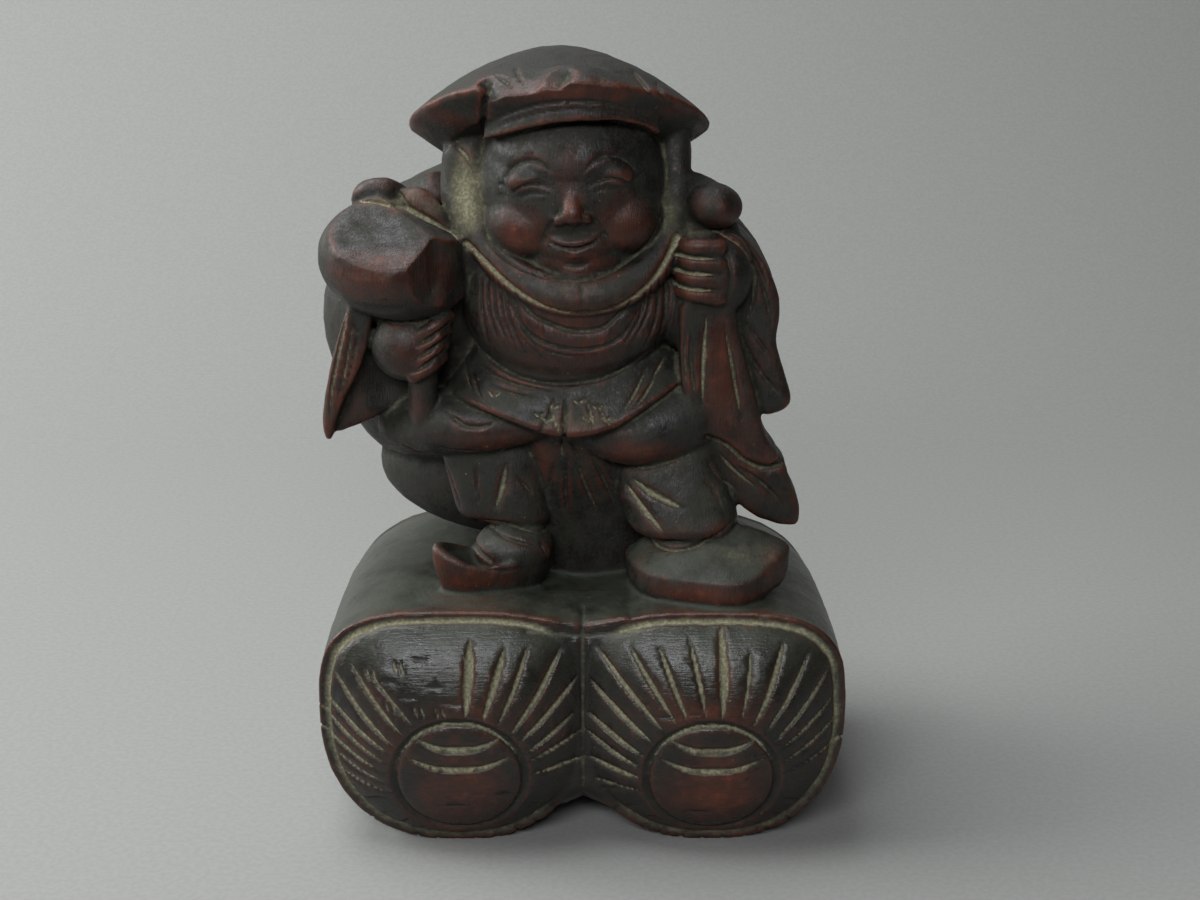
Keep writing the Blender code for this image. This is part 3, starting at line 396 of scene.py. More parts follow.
def add_bales(block):
    """Two bales side by side: a wrapped barrel with a lipped rim, and a domed end inside each rim."""
    rim = BALE_LENGTH / 2 - BALE_DOME
    inset = 1 - RIM_LIP / (BALE_WIDTH / 2)
    for side in (-1, 1):
        middle_x = side * BALE_SPACING / 2
        taper = BALE_TAPER if side > 0 else 0
        barrel = [(y * rim, 1 - 0.03 * y**4 - taper * (y + 1.4))
                  for y in (-1, -0.97, -0.8, -0.5, 0, 0.5, 0.8, 0.97, 1)]
        block.loft([bale_ring(middle_x, y, share) for y, share in barrel])
        bulge = [(1 - s ** DOME_FULLNESS, inset * s) for s in np.linspace(1, 0.03, 22)]
        dome = [(-rim - BALE_DOME * forward, share * (0.97 - 0.4 * taper))
                for forward, share in reversed(bulge)]
        dome += [(-y, share * (1 - 2 * taper)) for y, share in reversed(dome)]
        block.loft([bale_ring(middle_x, y, share) for y, share in dome])
    valley = ((-0.29, 0.988), (-0.13, 0.964), (0, 0.948), (0.13, 0.964), (0.29, 0.988), (0.25, 0.6),
              (0, 0.52), (-0.25, 0.6))
    block.loft([[at(x * BALE_WIDTH, y, (z + low) * BALE_HEIGHT) for x, z in valley]
                for y, low in ((-0.99 * rim, -0.018), (-0.8 * rim, -0.008), (-0.2 * rim, 0),
                               (0.74 * rim, -0.008), (rim, -0.04))])
    rings = []
    for z, lip, corner, spread in ((0.94, -0.06, -0.06, -0.17), (0.89, 0, 0.05, 0), (0.76, 0.08, 0.25, 0),
                                   (0.56, 0.11, 0.29, 0), (0.4, 0.09, 0.29, 0), (0.3, 0.04, 0.25, 0.2),
                                   (0.24, 0, 0.1, 0.4), (0.21, -0.1, 0, 0.6)):
        nose, side = -rim - lip * BALE_DOME, -rim - corner * BALE_DOME
        rings.append([at(x * BALE_WIDTH, y, (z - abs(x) * spread) * BALE_HEIGHT) for x, y in
                      ((-0.16, -rim / 2), (-0.16, side), (-0.05, nose), (0, nose), (0.05, nose), (0.16, side),
                       (0.16, -rim / 2))])
    block.loft(rings)


def add_sack(block):
    """The treasure sack on the figure's back, drawn up to a neck that the fist on the right holds."""
    block.ball((-7, 15, 98), (47.6, 23, 36))
    block.ball((-6, 15, 67), (37.6, 20.5, 17.5))
    block.ball((-8, 15, 82), (42, 22, 22))
    block.limb([(-30, 8, 120), (-36, 6, 120.4), (-29, 2, 126)], [9, 7, 4.6])
    block.limb([(2, 12, 112), (13, 6, 121), (18.5, -4, 126.6), (25, -10.5, 126)], [20, 13, 5.6, 4.6])
    block.ball((25.4, -11, 126.3), (5.6, 5.8, 4.3), (0, 12, 0))
    block.ball((22, -6, 119), (9, 7, 8))
    block.ball((19, -7, 106), (5, 8, 9))


def on_face(x, z):
    """A drawn place on the face, this far right of its middle and above the head's, turned with the head."""
    a = math.radians(HEAD_TILT)
    return HEAD[0] + x * math.cos(a) - z * math.sin(a), HEAD[1] + z * math.cos(a) + x * math.sin(a)


def in_face(x, y, z):
    """As on_face, with a depth."""
    right, up = on_face(x, z)
    return right, y, up


def add_head(block):
    """The round head and a smiling face of the usual kind, on even thirds from the brim to the chin."""
    block.ball((HEAD[0], -3, HEAD[1]), (19.2, 18, 18.5))
    block.ball((HEAD[0], -3.4, HEAD[1] + 5.5), (17.6, 17.6, 13.5))
    for side in (-1, 1):
        block.ball(in_face(side * 8.6, -11.0, -6.1), (8.8, 8.2, 7.8))
        block.ball(in_face(side * 7.2, -17.4, 3.5), (4.8, 2.5, 2.9), (0, side * 8 - HEAD_TILT, 0))
        block.ball(in_face(side * 2.5, -20.0, -4.0), (1.7, 1.9, 1.4))
        block.limb([in_face(side * 3.4, -18.5, 1.2), in_face(side * 7, -18.8, 1.9),
                    in_face(side * 10.4, -17.2, 0.9)],
                   [0.5, 0.8, 0.5])
    block.limb([in_face(0, -18.8, 3.6), in_face(0, -19.8, 0.2), in_face(0, -21, -2.8)], [1.2, 1.6, 2.0])
    block.ball(in_face(0, -20.9, -3.3), (2.2, 2.1, 1.8))
    block.ball(in_face(0, -13, -12.9), (9.8, 6.6, 5.2))
    block.ball(in_face(0, -14.4, -9.6), (8.4, 6.2, 5))
    block.limb([in_face(x, y, z) for x, y, z in ((-5.0, -18.7, -7.7), (-2.5, -19.9, -8.5), (0, -20.2, -8.8),
                                                 (2.5, -19.9, -8.5), (5.0, -18.7, -7.7))],
               [0.4, 0.75, 0.7, 0.75, 0.4])
    block.limb([in_face(-3.2, -19.1, -10.4), in_face(0, -19.9, -11.0), in_face(3.2, -19.1, -10.4)],
               [0.4, 0.85, 0.4])
    block.ball(in_face(0, -16.6, -14.4), (5.0, 3.2, 2.7))


def add_hood(block):
    """The cloth under the cap: it hangs beside each cheek and runs as a flat roll below the chin."""
    block.limb([(-21.5, -4, 139), (-21.8, -7, 130), (-20, -11, 121.5), (-14.5, -15.5, 114.6),
                (-7, -18.6, 111), (0, -19.6, 110.2), (7, -18.4, 111.3), (13.5, -15.2, 115),
                (17.2, -11, 121), (18.2, -7, 130), (17.8, -4, 139)],
               [3, 3, 3.3, 3.6, 3.7, 3.7, 3.7, 3.6, 3.2, 3, 3])
    block.limb([(-23.5, -3, 136.5), (-24, -6, 128), (-21.5, -10, 119.5), (-20, -9, 112)], [3.6, 3.8, 3.6, 3])
    block.limb([(18, -2, 136), (17.5, -5, 128), (17.5, -9, 118)], [3.4, 3.6, 3.4])


def add_body(block):
    """The chest and belly in their robe, the sleeves' shoulders, and the short skirt of the coat."""
    rings = []
    for z, rx, ry in ((121, 17, 10), (117, 20, 13.2), (112, 21.5, 15.6), (106, 22, 16.8), (100, 21.8, 16.8),
                      (96, 20.6, 15.8), (93.6, 18.8, 14.2), (92.8, 15.5, 11)):
        lower = min(1, max(0, (106 - z) / 10))
        rings.append([at(-2.5 + dx, -3.4 + dy, z + 0.013 * lower * dx * dx)
                      for dx, dy in oval(rx, ry, 2.5, 56)])
    block.loft(rings)
    block.ball((-27, 1, 107), (13, 10, 15))
    block.ball((25, 2, 106), (13, 10, 14))
    hem_x = (-28, -18, -10.5, -4, 1.5, 7.5, 13, 20, 27)
    hem_z = (88.6, 87, 84.6, 82.7, 83.2, 85, 88.3, 92, 94)
    rings = []
    for share, rx, ry in ((1.0, 19.5, 13), (0.75, 20.5, 14.6), (0.45, 22.3, 16.6), (0.2, 24, 18.6),
                          (0.06, 25.2, 19.9), (0.0, 25, 19.8), (-0.05, 24, 18.6), (-0.04, 20, 14)):
        ring = []
        for dx, dy in oval(rx, ry, 2.3, 56):
            low = float(np.interp(-2.5 + dx, hem_x, hem_z))
            ring.append(at(-2.5 + dx, -2.6 + dy, low + (99 - low) * share))
        rings.append(ring)
    block.loft(rings)


def add_legs(block):
    """Bloused trousers over both knees, the shins below them, and the cloth that hangs between."""
    block.limb([(-35, -3, 80), (-28, -9, 82), (-19, -12, 82.4), (-9, -12.5, 83.2)], [6.5, 6.6, 5.6, 3.6],
              squash=1.15)
    block.limb([(2, -12.5, 79.6), (9.5, -14.5, 81), (19, -12, 83.5), (25, -6, 84)], [3.4, 6.4, 7.4, 7])
    rings = []
    for z, left, right, front in ((80, -30, -9, -12.5), (75, -29, -8, -13.6), (68.5, -27.6, -7, -14.4),
                                  (63, -26.2, -6.4, -14.6), (61.6, -25.6, -6.8, -13.8)):
        middle, half = (left + right) / 2, (right - left) / 2
        rings.append([at(middle + dx, front + 9 + dy, z - 0.12 * dx) for dx, dy in oval(half, 9, 2.8, 44)])
    block.loft(rings)
    rings = []
    for z, left, right, front in ((82, 6, 28, -15), (75, 7.6, 27.6, -17.6), (68, 6.8, 29.6, -19.8),
                                  (62.5, 8.8, 31.2, -21.4), (61, 9.8, 31.2, -21)):
        middle, half = (left + right) / 2, (right - left) / 2
        rings.append([at(middle + dx, front + 11 + dy, z + 0.006 * dx * dx * (dx > 0) * 1.6)
                      for dx, dy in oval(half, 11, 2.8, 44)])
    block.loft(rings)
    block.stack([((-2, -5, 86), (13, 12), 2.2), ((-1, -3.5, 74), (12, 10), 2.4), ((1, 0, 60), (13, 9), 2.4),
                ((2, 2, 48), (14, 8), 2.4)])


def boot(block, outline, middle, levels, lift_from, lift, steps=5):
    """A boot's lower part: its plan at each level, drawn in towards the top, with the toe lifted."""
    rings = []
    for z, grow, curl in levels:
        ring = []
        for p in smooth_line([Vector(p) for p in outline], steps, closed=True):
            side = Vector(middle) + (p - Vector(middle)) * grow
            past = max(0.0, (p.x - lift_from) * math.copysign(1, lift_from - middle[0]))
            ring.append(at(side.x, side.y, z + lift * past ** 1.4 * curl))
        rings.append(ring)
    block.loft(rings)


def add_feet(block):
    """Two soft boots, turned well out. The left one curls up at its toe."""
    boot(block, [(-6, -9), (-8.5, -15.5), (-14, -19.8), (-20, -22), (-25.5, -23), (-30, -21), (-28.5, -16.5),
                (-22, -11), (-13, -6)], (-17, -14),
         ((49, 0.84, 0.2), (50.6, 0.92, 0.6), (52.8, 0.98, 1.0), (54.8, 1.0, 1.3), (55.5, 0.95, 1.4),
          (55.2, 0.86, 1.4), (54.2, 0.74, 1.0), (53, 0.3, 0)), -20, 0.125)
    block.ball((-14.2, -11.6, 56), (8.2, 7.4, 5.8), (0, -4, 12))
    boot(block, [(9.6, -8), (9.8, -17), (13, -23), (17, -25.6), (23, -27.6), (29.5, -28.8), (34.5, -26.8),
                (38.5, -22.8), (41.4, -18.2), (37, -11), (24, -5)], (23, -13),
         ((49, 0.93, 0.5), (50.4, 0.985, 0.7), (52.6, 1.0, 1), (54.4, 1.0, 1), (55.2, 0.965, 1),
          (57.4, 0.78, 0.8), (60, 0.55, 0.5), (61, 0.3, 0.2)), 31, 0.16)


def add_mallet_arm(block):
    """The arm on the left: a wide sleeve, the hand, and the mallet that it holds up."""
    block.slab([(-44, 110), (-48, 101), (-50.4, 91), (-51.2, 84), (-50, 79.6), (-45.5, 80.8), (-41, 82.8),
               (-34, 86), (-28, 92), (-26, 101), (-30, 110), (-37, 113)], -8.5, 7, 1.6, (0.04, 0.02))
    block.slab([(-44.5, 109), (-48.2, 100), (-50.8, 90), (-51.9, 83.5), (-51.6, 79.6), (-50.4, 79),
                (-49.4, 82), (-47.4, 87.4), (-44.6, 92.6), (-42.4, 98.4), (-41.2, 104), (-41, 109)],
               -13.4, -6, 0.9, (-0.16, -0.03))
    block.ball((-34.6, -12.2, 98.6), (6.9, 6.2, 7.6), (0, 14, 0))
    block.ball((-30.4, -12.6, 99.8), (4.4, 5.2, 6.4), (0, 22, 0))
    block.ball((-35.5, -8, 106), (8.5, 6.5, 5))
    for i in range(4):
        block.limb([(-31.5 - 0.5 * i, -16.6, 101.6 - 2.7 * i), (-28.6 - 0.5 * i, -17, 103.6 - 2.7 * i),
                   (-26 - 0.5 * i, -14.6, 105.2 - 2.7 * i)], [1.5, 1.5, 1.3])
    block.limb([(-32.5, -13, 110), (-31.6, -13.5, 96), (-31.8, -12.6, 84.6)], [3, 3, 3])
    block.ball((-35.6, -12, 116.2), (15.8, 14, 12), (0, 4, 0),
              [((-30.4, -26, 116), (0.86, -0.5, -0.02)), ((-38, -20, 121), (-0.04, -0.6, 0.8)),
               ((-50.9, -12, 116), (-1, 0, 0)), ((-31, -8, 124.4), (0.42, -0.1, 0.9))])
    block.limb([(-43.6, -7, 126.6), (-42, -8, 128.4), (-38.4, -8, 128.8), (-35.6, -6, 127.4)],
               [1.5, 2.1, 2.3, 1.9])
    block.limb([(-33.6, -8.6, 127.4), (-31.4, -9.6, 126.8), (-28.6, -10.4, 123.6), (-25.6, -10.6, 119.6)],
               [1.9, 2.6, 2.5, 1.8])


def add_sack_arm(block):
    """The arm on the right: the fist that grips the sack's neck, and two long falls of sleeve below it."""
    block.slab([(23, 121), (29.5, 120.6), (34.6, 116), (38, 109.5), (39, 104.5), (38.4, 98.5), (39.8, 93),
                (41.5, 87.5), (41.3, 85.2), (39, 83.6), (35.8, 83.4), (31, 87), (26, 95), (22, 108)],
               -9.6, 6, 1.5)
    block.slab([(22, 96), (21.6, 86), (23.6, 78), (25.2, 73), (29.4, 67.6), (33.4, 63.6), (38, 61.2),
                (42.8, 60.3), (43.9, 62.2), (43.4, 66), (41.6, 70), (40.4, 74), (36.6, 79), (33, 90),
                (28, 98)], -12.8, -3, 1.2, (0.12, -0.02))
    block.slab([(19.6, 108.6), (19.0, 100), (19.6, 90.5), (21.6, 85), (24.4, 81.6), (28.5, 79.4),
                (32.5, 75.9), (36.6, 74.4), (38.8, 75.4), (38.9, 76.4), (36.8, 79.6), (35.4, 83.4),
                (33, 92), (30.6, 101), (28.6, 108)], -15.8, -5, 1.1, (0.13, -0.01))
    block.ball((27, -12, 113), (6.2, 6, 8.2), (0, 6, 0))
    for i in range(4):
        z = 119.4 - 3.05 * i
        block.limb([(18.9, -14.6, z), (21.4, -17.5, z + 0.1), (26, -17, z - 0.1 - 0.25 * i)],
                   [1.35, 1.6, 1.7])


def on_cap(share, a, z):
    """A place on the cap: this share of the way out from its middle, at this angle and height."""
    return at(CAP_MIDDLE[0] + CAP_HALF[0] * share * math.cos(a),
              CAP_MIDDLE[1] + CAP_HALF[1] * share * math.sin(a), z)


def add_cap(block):
    """The wide soft cap: a low dome, drooping to a point over each ear, with a band turned up in front."""
    turns = [math.radians(d) for d in range(0, 360, 5)]
    # Degrees away from straight ahead, for each turn.
    front = [abs((math.degrees(a) - 270 + 180) % 360 - 180) for a in turns]
    rim = np.interp(front, (0, 30, 42, 65, 90, 130, 180), (149.6, 149.6, 148.4, 144.2, 139.7, 138.2, 137.8))
    drop = np.interp(front, (0, 20, 36, 53, 90, 180), (4.8, 5.4, 6.4, 6.4, 6.6, 6))
    inner = np.interp(front, (0, 35, 65, 90, 180), (0.86, 0.86, 0.78, 0.72, 0.8))
    fullness = np.interp(front, (0, 90, 180), (2.6, 1.85, 2.5))
    rings = []
    for out in (0.02, 0.2, 0.35, 0.5, 0.63, 0.75, 0.85, 0.93, 0.98, 1.0):
        rings.append([on_cap(out, a, rim[i] + (DRAWN_HEIGHT - rim[i]) * (1 - out ** fullness[i]))
                      for i, a in enumerate(turns)])
    for sunk, tuck in ((0.16, 0.05), (1.0, 1.0), (1.0, 1.6)):
        rings.append([on_cap(1 - (1 - inner[i]) * tuck, a, rim[i] - drop[i] * sunk)
                      for i, a in enumerate(turns)])
    block.loft(rings)
    ridge_at = ((-56, -40, -28, -16, -6, 10, 25, 38, 56),
                (145.6, 147.3, 149, 150.5, 151.2, 151, 150.1, 149.2, 147.6))
    brim_at = ((-60, -42, -28, -12, 4, 25, 44, 60), (138.8, 140.5, 142, 143.4, 144, 143.9, 142.2, 139.4))
    rings = []
    for u in np.linspace(-56, 56, 29):
        ridge, brim = float(np.interp(u, *ridge_at)), float(np.interp(u, *brim_at))
        tall = ridge - brim
        section = [(0.3, ridge), (-0.2, ridge - 0.12 * tall), (-0.9, ridge - 0.45 * tall),
                   (-0.8, ridge - 0.8 * tall), (-0.4, brim + 0.3), (-1.0, brim), (-8, brim + 0.4),
                   (-9, ridge), (-6.5, ridge + 2.6), (-2.4, ridge + 1.5), (-0.4, ridge + 0.6)]
        a = math.radians(u)
        rings.append([at(-2 + (21 + r) * math.sin(a), -3 - (19 + r) * math.cos(a), z) for r, z in section])
    block.loft(rings)


# The straw rays round each lid, as the carver cut them: the angle where one starts at the lid, the angle and
# the distance where it ends, and its width. Angles are in degrees, anticlockwise from the right.
RAYS = {
    -1: ((83, 85, 27.6, 2.5), (69, 71, 27.5, 2.1), (56, 63, 29.5, 1.4), (43, 52, 32, 1.8), (33, 40, 30, 1.6),
         (21, 28, 25.5, 1.3), (13, 18, 25, 1.2), (0, 4, 24.5, 1.4), (126, 128, 27, 0.9), (139, 132, 31, 1.3),
         (152, 139, 32, 1.5), (160, 149, 31, 1.3), (170, 155, 29.5, 1.2), (179, 163, 28, 1.2),
         (189, 170, 26.5, 1.1), (199, 179, 25, 1.1)),
    1: ((82, 87, 30, 2.3), (95, 99, 28.4, 1.3), (110, 111, 28.9, 1.4), (119, 121, 31, 1.4),
        (131, 131, 34, 1.5), (145, 141, 30.5, 1.6), (160, 153, 27.3, 1.6), (172, 161, 26, 1.4),
        (182, 174, 24, 1.7), (195, 186, 23.3, 1.2), (67, 75, 27.8, 1.0), (56, 64, 30.5, 1.6),
        (45, 54, 31.6, 1.2), (34, 44, 31.7, 1.2), (25, 34, 30, 1.0), (13, 25, 28, 1.0), (3, 14, 26.6, 1.0)),
}
LID_MIDDLES = {-1: (-24.4, 17), 1: (25.4, 16.6)}


def round_point(middle, radius, degrees):
    """A place at this distance and angle from a middle."""
    a = math.radians(degrees)
    return middle[0] + radius * math.cos(a), middle[1] + radius * math.sin(a)


def carve_bales(c):
    """The rims, the crease between the ends, the lids, and the rays of straw gathered round each lid."""
    rim = BALE_LENGTH / 2 - BALE_DOME
    for end in (-1, 1):
        c.seam(end * (rim + 0.5), 1.5, 0.8, BALE_HEIGHT + 2)
        c.bead(end * (rim - 0.6), 1.2, 0.35, BALE_HEIGHT + 2)
    c.gouge([(0, -19), (0, -25), (0, -rim - 1)], 0.9, 0.5, "top", "start", dust=0.4)
    c.gouge([(-11, 46.2), (-5, 45.4), (0, 44.9), (5, 45.4), (11, 46.2)], 1.0, 0.4, "front", "none", dust=0.7)
    c.gouge([(0, 46), (0, 30), (0, 12)], 1.0, 0.5, "front", "none", dust=0.75)
    for side, middle in LID_MIDDLES.items():
        ring = [round_point(middle, LID_RADIUS, a) for a in range(0, 361, 12)]
        c.gouge(ring, 2.0, 0.65, "front", "none", "round", 0.3)
        upper = [round_point(middle, LID_RADIUS - 0.4, a) for a in range(10, 171, 10)]
        c.gouge(upper, 0.9, 0.9, "front", "both", "v", 0.9)
        for half, ends, sag, width in ((0.68, 0.74, 0.2, 2.3), (0.86, 0.42, 0.23, 2.1)):
            c.gouge([(middle[0] + LID_RADIUS * half * across, middle[1] + LID_RADIUS * (ends - sag * down))
                     for across, down in ((-1, 0), (-0.47, 0.84), (0, 1), (0.47, 0.84), (1, 0))], width, 0.9)
        for start, end, reach, width in RAYS[side]:
            c.gouge([round_point(middle, LID_RADIUS + 0.5, start),
                     round_point(middle, (LID_RADIUS + reach) / 2, (start + end) / 2),
                     round_point(middle, reach + 1.2, end)],
                    0.85 * width, 0.4 + 0.28 * width, form="round", dust=0.9)
        for i in range(11):
            a = -158 + 13.2 * i if side < 0 else -166 + 14.6 * i
            reach = min(24, 1.8 * LID_RADIUS if abs(a + 90) > 50 else 19)
            c.gouge([round_point(middle, LID_RADIUS + 1.6, a),
                     round_point(middle, (LID_RADIUS + reach) / 2, a - 2), round_point(middle, reach, a - 1)],
                    1.0, 0.38, form="round", dust=0.3)


def carve_bale_wear(c):
    """Old knocks on the ends: worn stubs of rays on the left bale, and short cracks along the grain."""
    for x, z in ((-41.4, 38.6), (-35.9, 40.2), (-37.6, 32.4), (-32, 32.3), (-27.7, 31.6)):
        for shift in (-0.55, 0.75):
            c.gouge([(x + shift - 0.5, z + 1.8), (x + shift, z), (x + shift + 0.7, z - 1.7)], 0.9, 0.45)
    for x, z, length in ((-40, 37.4, 5), (-37, 34.6, 6), (-33.6, 41.8, 4.5), (-31, 36.8, 5), (-29, 33.6, 6),
                         (9, 32.8, 6), (13, 30.6, 7), (18, 31.4, 8), (22, 29.8, 9), (14.6, 27, 6),
                         (31, 29.6, 5), (17, 20.6, 9), (27, 19.2, 12), (31.5, 22.3, 7), (19, 8.6, 8),
                         (-29, 10.4, 7), (-19, 13, 6)):
        c.gouge([(x, z), (x + length / 2, z + 0.25), (x + length, z - 0.1)], 0.55, 0.4, dust=0.1)


def carve_back(c):
    """Behind: a lid in each bale, with no rays, and the sack's long folds from its neck and its foot."""
    for middle in ((-BALE_SPACING / 2, 17), (BALE_SPACING / 2, 17)):
        c.gouge([round_point(middle, LID_RADIUS, a) for a in range(0, 361, 12)],
                2.2, 0.9, "back", "none", "round")
    for points in ([(24, 118), (10, 112), (-6, 96)], [(25, 114), (14, 102), (4, 84)],
                   [(22, 122), (2, 120), (-20, 108)], [(27, 110), (22, 96), (18, 78)],
                   [(-38, 76), (-18, 64), (6, 62)], [(20, 66), (4, 58), (-14, 56)]):
        c.gouge(points, 2.4, 0.9, "back", dust=0.4)


def carve_face(c):
    """The closed smiling eyes, the brows over them, the creases beside the nose and the line of the smile."""
    for side in (-1, 1):
        def line(*places):
            return [on_face(side * x, z) for x, z in places]

        c.gouges((
            (line((2.4, 4.0), (4.2, 6.2), (7.2, 7.3), (10.4, 6.2), (12.6, 3.4)), 1.5, 0.55, 0.1),
            (line((3.0, 1.7), (4.8, 2.7), (7.2, 3.0), (9.4, 2.5), (11.6, 0.9)), 1.0, 0.75, 0.0),
            (line((4.1, 0.6), (7.1, 1.4), (10.1, 0.2)), 0.8, 0.4, 0.1),
            (line((3.0, -2.8), (4.6, -5.2), (6.0, -7.4)), 1.5, 0.5, 0.1),
            (line((1.8, -3.0), (2.9, -2.6), (3.9, -3.6), (3.9, -4.8)), 0.8, 0.4, 0.1),
            (line((0.7, -5.3), (1.4, -5.0), (2.1, -5.4)), 0.9, 0.5, 0.0),
            (line((5.0, -7.4), (5.8, -7.9), (6.1, -8.8)), 1.3, 0.5, 0.05),
            (line((12.2, 2.0), (14.0, 3.0)), 0.7, 0.25, 0.2),
            (line((12.0, 0.6), (14.2, 0.4)), 0.7, 0.25, 0.2),
        ))
    c.gouges((
        ([on_face(x, z) for x, z in ((-5.6, -7.8), (-3.0, -9.2), (0, -9.8), (3.0, -9.2), (5.6, -7.8))],
         1.0, 0.9, 0.0),
        ([on_face(x, z) for x, z in ((-3.0, -12.7), (0, -13.2), (3.0, -12.7))], 1.5, 0.4, 0.1),
        ([on_face(0, -6.0), on_face(0, -7.7)], 1.1, 0.3, 0.0),
    ))
    for x, low, high in ((-8.4, 9.4, 12.4), (-6.0, 8.8, 12.6), (-3.2, 7.6, 13), (-0.8, 8.4, 12.4),
                         (1.4, 6, 13), (3.6, 8.2, 13), (6.6, 8.8, 12)):
        c.gouge([on_face(x, high), on_face(x + 0.1, low)], 0.35, 0.22, dust=0.0)


def carve_cap(c):
    """The notches where the band begins, its double line, and the creases that run up over it."""
    c.gouges((
        ([(-16.6, 150.6), (-18.2, 147), (-18.6, 143), (-19.2, 139.6)], 1.7, 1.3, 0.3),
        ([(-18.6, 142.2), (-14, 144.8), (-8, 147), (-2, 147.7), (4.5, 147.2), (10, 145.4), (14.5, 143)],
         0.9, 0.5, 0.2),
        ([(-18.2, 140.8), (-14, 143.2), (-8, 145.5), (-2, 146.3), (4.5, 145.8), (10, 144), (14.5, 141.6)],
         0.8, 0.4, 0.15),
        ([(9.6, 152), (11.8, 149.8), (13.6, 147.6)], 1.5, 0.7, 0.5),
        ([(13.4, 151), (14.6, 149), (15.8, 146.6)], 1.2, 0.5, 0.4),
        ([(-16.5, 151.8), (-14, 150.6), (-12.8, 149.4)], 0.9, 0.5, 0.6),
        ([(-12.6, 153), (-11.6, 151.2), (-10.6, 150)], 0.8, 0.45, 0.3),
        ([(-25, 137.2), (-22.6, 135.4), (-21.2, 133)], 1.4, 0.6, 0.8),
    ))


def carve_body(c):
    """The folds of the robe, the belly's lower edge, the sash and the pleats of the skirt."""
    hood_edge = [(-22.5, 119.4), (-18.2, 115.8), (-13, 111.6), (-7, 108.5), (0, 107.3), (6.5, 108.5),
                 (12.5, 112.2), (16, 116.6), (18.3, 121)]
    c.gouge(hood_edge, 1.7, 1.2, taper="none")
    c.gouges((
        ([(-19.5, 127), (-18, 120.5), (-14.3, 117), (-9.5, 115), (-3.3, 113.8), (3.7, 114.2),
          (9.1, 116.8), (13.3, 121), (15.7, 127)], 1.4, 0.55, 0.3),
        ([(-14.5, 113.3), (-10.5, 107.5), (-6, 105), (-1.5, 103.6), (3.5, 104), (7, 106.6), (10.6, 111),
          (12, 114)], 1.5, 0.8, 0.45),
        ([(-15.8, 112.5), (-12, 105.2), (-8, 101.6), (-2.5, 100), (3.5, 100.3), (8, 102.8), (12.2, 109.5)],
         1.3, 0.7, 0.3),
        ([(-13.6, 106), (-9.4, 101.2), (-4.6, 98.9), (1, 98.5), (6.4, 100)], 0.8, 0.4, 0.15),
        ([(-12.4, 103), (-8, 98.4), (-5.4, 96.4)], 0.7, 0.35, 0.25),
    ))
    left_folds = ([(-19.6, 113.6), (-19.6, 106), (-18.2, 99.6)], [(-18.4, 114), (-18.2, 107), (-16, 100)],
                  [(-17.2, 115), (-16.6, 106), (-13.6, 99.6)],
                  [(-16.2, 114.2), (-15.3, 105.8), (-12.2, 98.8)],
                  [(-15.2, 113.4), (-14.0, 105.4), (-10.4, 98)], [(-13.2, 110), (-11.6, 104.4), (-7.8, 98.6)])
    right_folds = ([(12.2, 113.5), (11.4, 106.4), (7.4, 100)], [(13.2, 114.5), (12.8, 107), (9, 99.6)],
                   [(14.8, 115.5), (14.4, 105.5), (11.4, 98.4)], [(16.2, 116), (16.2, 106), (14.2, 99)],
                   [(17.4, 116.5), (17.6, 107), (16.4, 100)])
    for points in left_folds + right_folds:
        c.gouge(points, 1.0, 0.6, dust=0.25)
    c.gouges((
        ([(-22, 98.4), (-18, 96), (-12, 93.6), (-4.5, 92.6), (3.5, 93.4), (9, 95.6), (14.5, 99.5)],
         1.6, 0.9, 0.25),
        ([(-20.5, 94.6), (-16, 92.9), (-10, 91.6), (-4.5, 91)], 1.0, 0.6, 0.4),
        ([(-19.6, 92), (-14, 90.6), (-7, 89.6)], 0.9, 0.5, 0.4),
        ([(-22, 93), (-20.4, 89.6), (-17.6, 87.4)], 1.0, 0.5, 0.5),
        ([(-24, 95), (-22.6, 91), (-20, 88)], 0.9, 0.5, 0.5),
    ))
    c.gouge([(-3, 91.2), (-3.4, 86.6), (-3.6, 81.6)], 1.3, 1.0, taper="start", dust=0.3)
    c.gouge([(-5.2, 91), (-6.2, 87.4), (-8.2, 83.8)], 1.0, 0.6, taper="start", dust=0.5)
    c.gouge([(-6.4, 89.8), (-5.6, 86.4), (-4.4, 83.6)], 0.7, 0.45, taper="start", dust=1.0)
    for points in ([(12.8, 95), (10.2, 90.6), (7.0, 86.4)], [(14.8, 93.8), (12.2, 90.2), (9.4, 87.6)],
                   [(16.4, 96), (13.6, 92.6)], [(2.6, 89.4), (4.2, 86.6), (6.0, 84.2)],
                   [(0.6, 90.2), (1.6, 87.2), (2.4, 84)]):
        c.gouge(points, 1.0, 0.6, dust=0.7)
    for x, z, size in ((-6.8, 85.4, 1.0), (-5.4, 87.8, 0.8), (-8.4, 86.4, 0.7), (1.0, 85.6, 0.9),
                       (2.9, 87.6, 0.9), (4.6, 85.6, 0.8), (-0.8, 88.6, 0.8), (-17.4, 89.4, 0.9)):
        c.gouge([(x - 1.5 * size, z + 1.6 * size), (x, z)], 0.8, 0.5, dust=1.0)
        c.gouge([(x + 1.5 * size, z + 1.6 * size), (x, z)], 0.8, 0.5, dust=1.0)


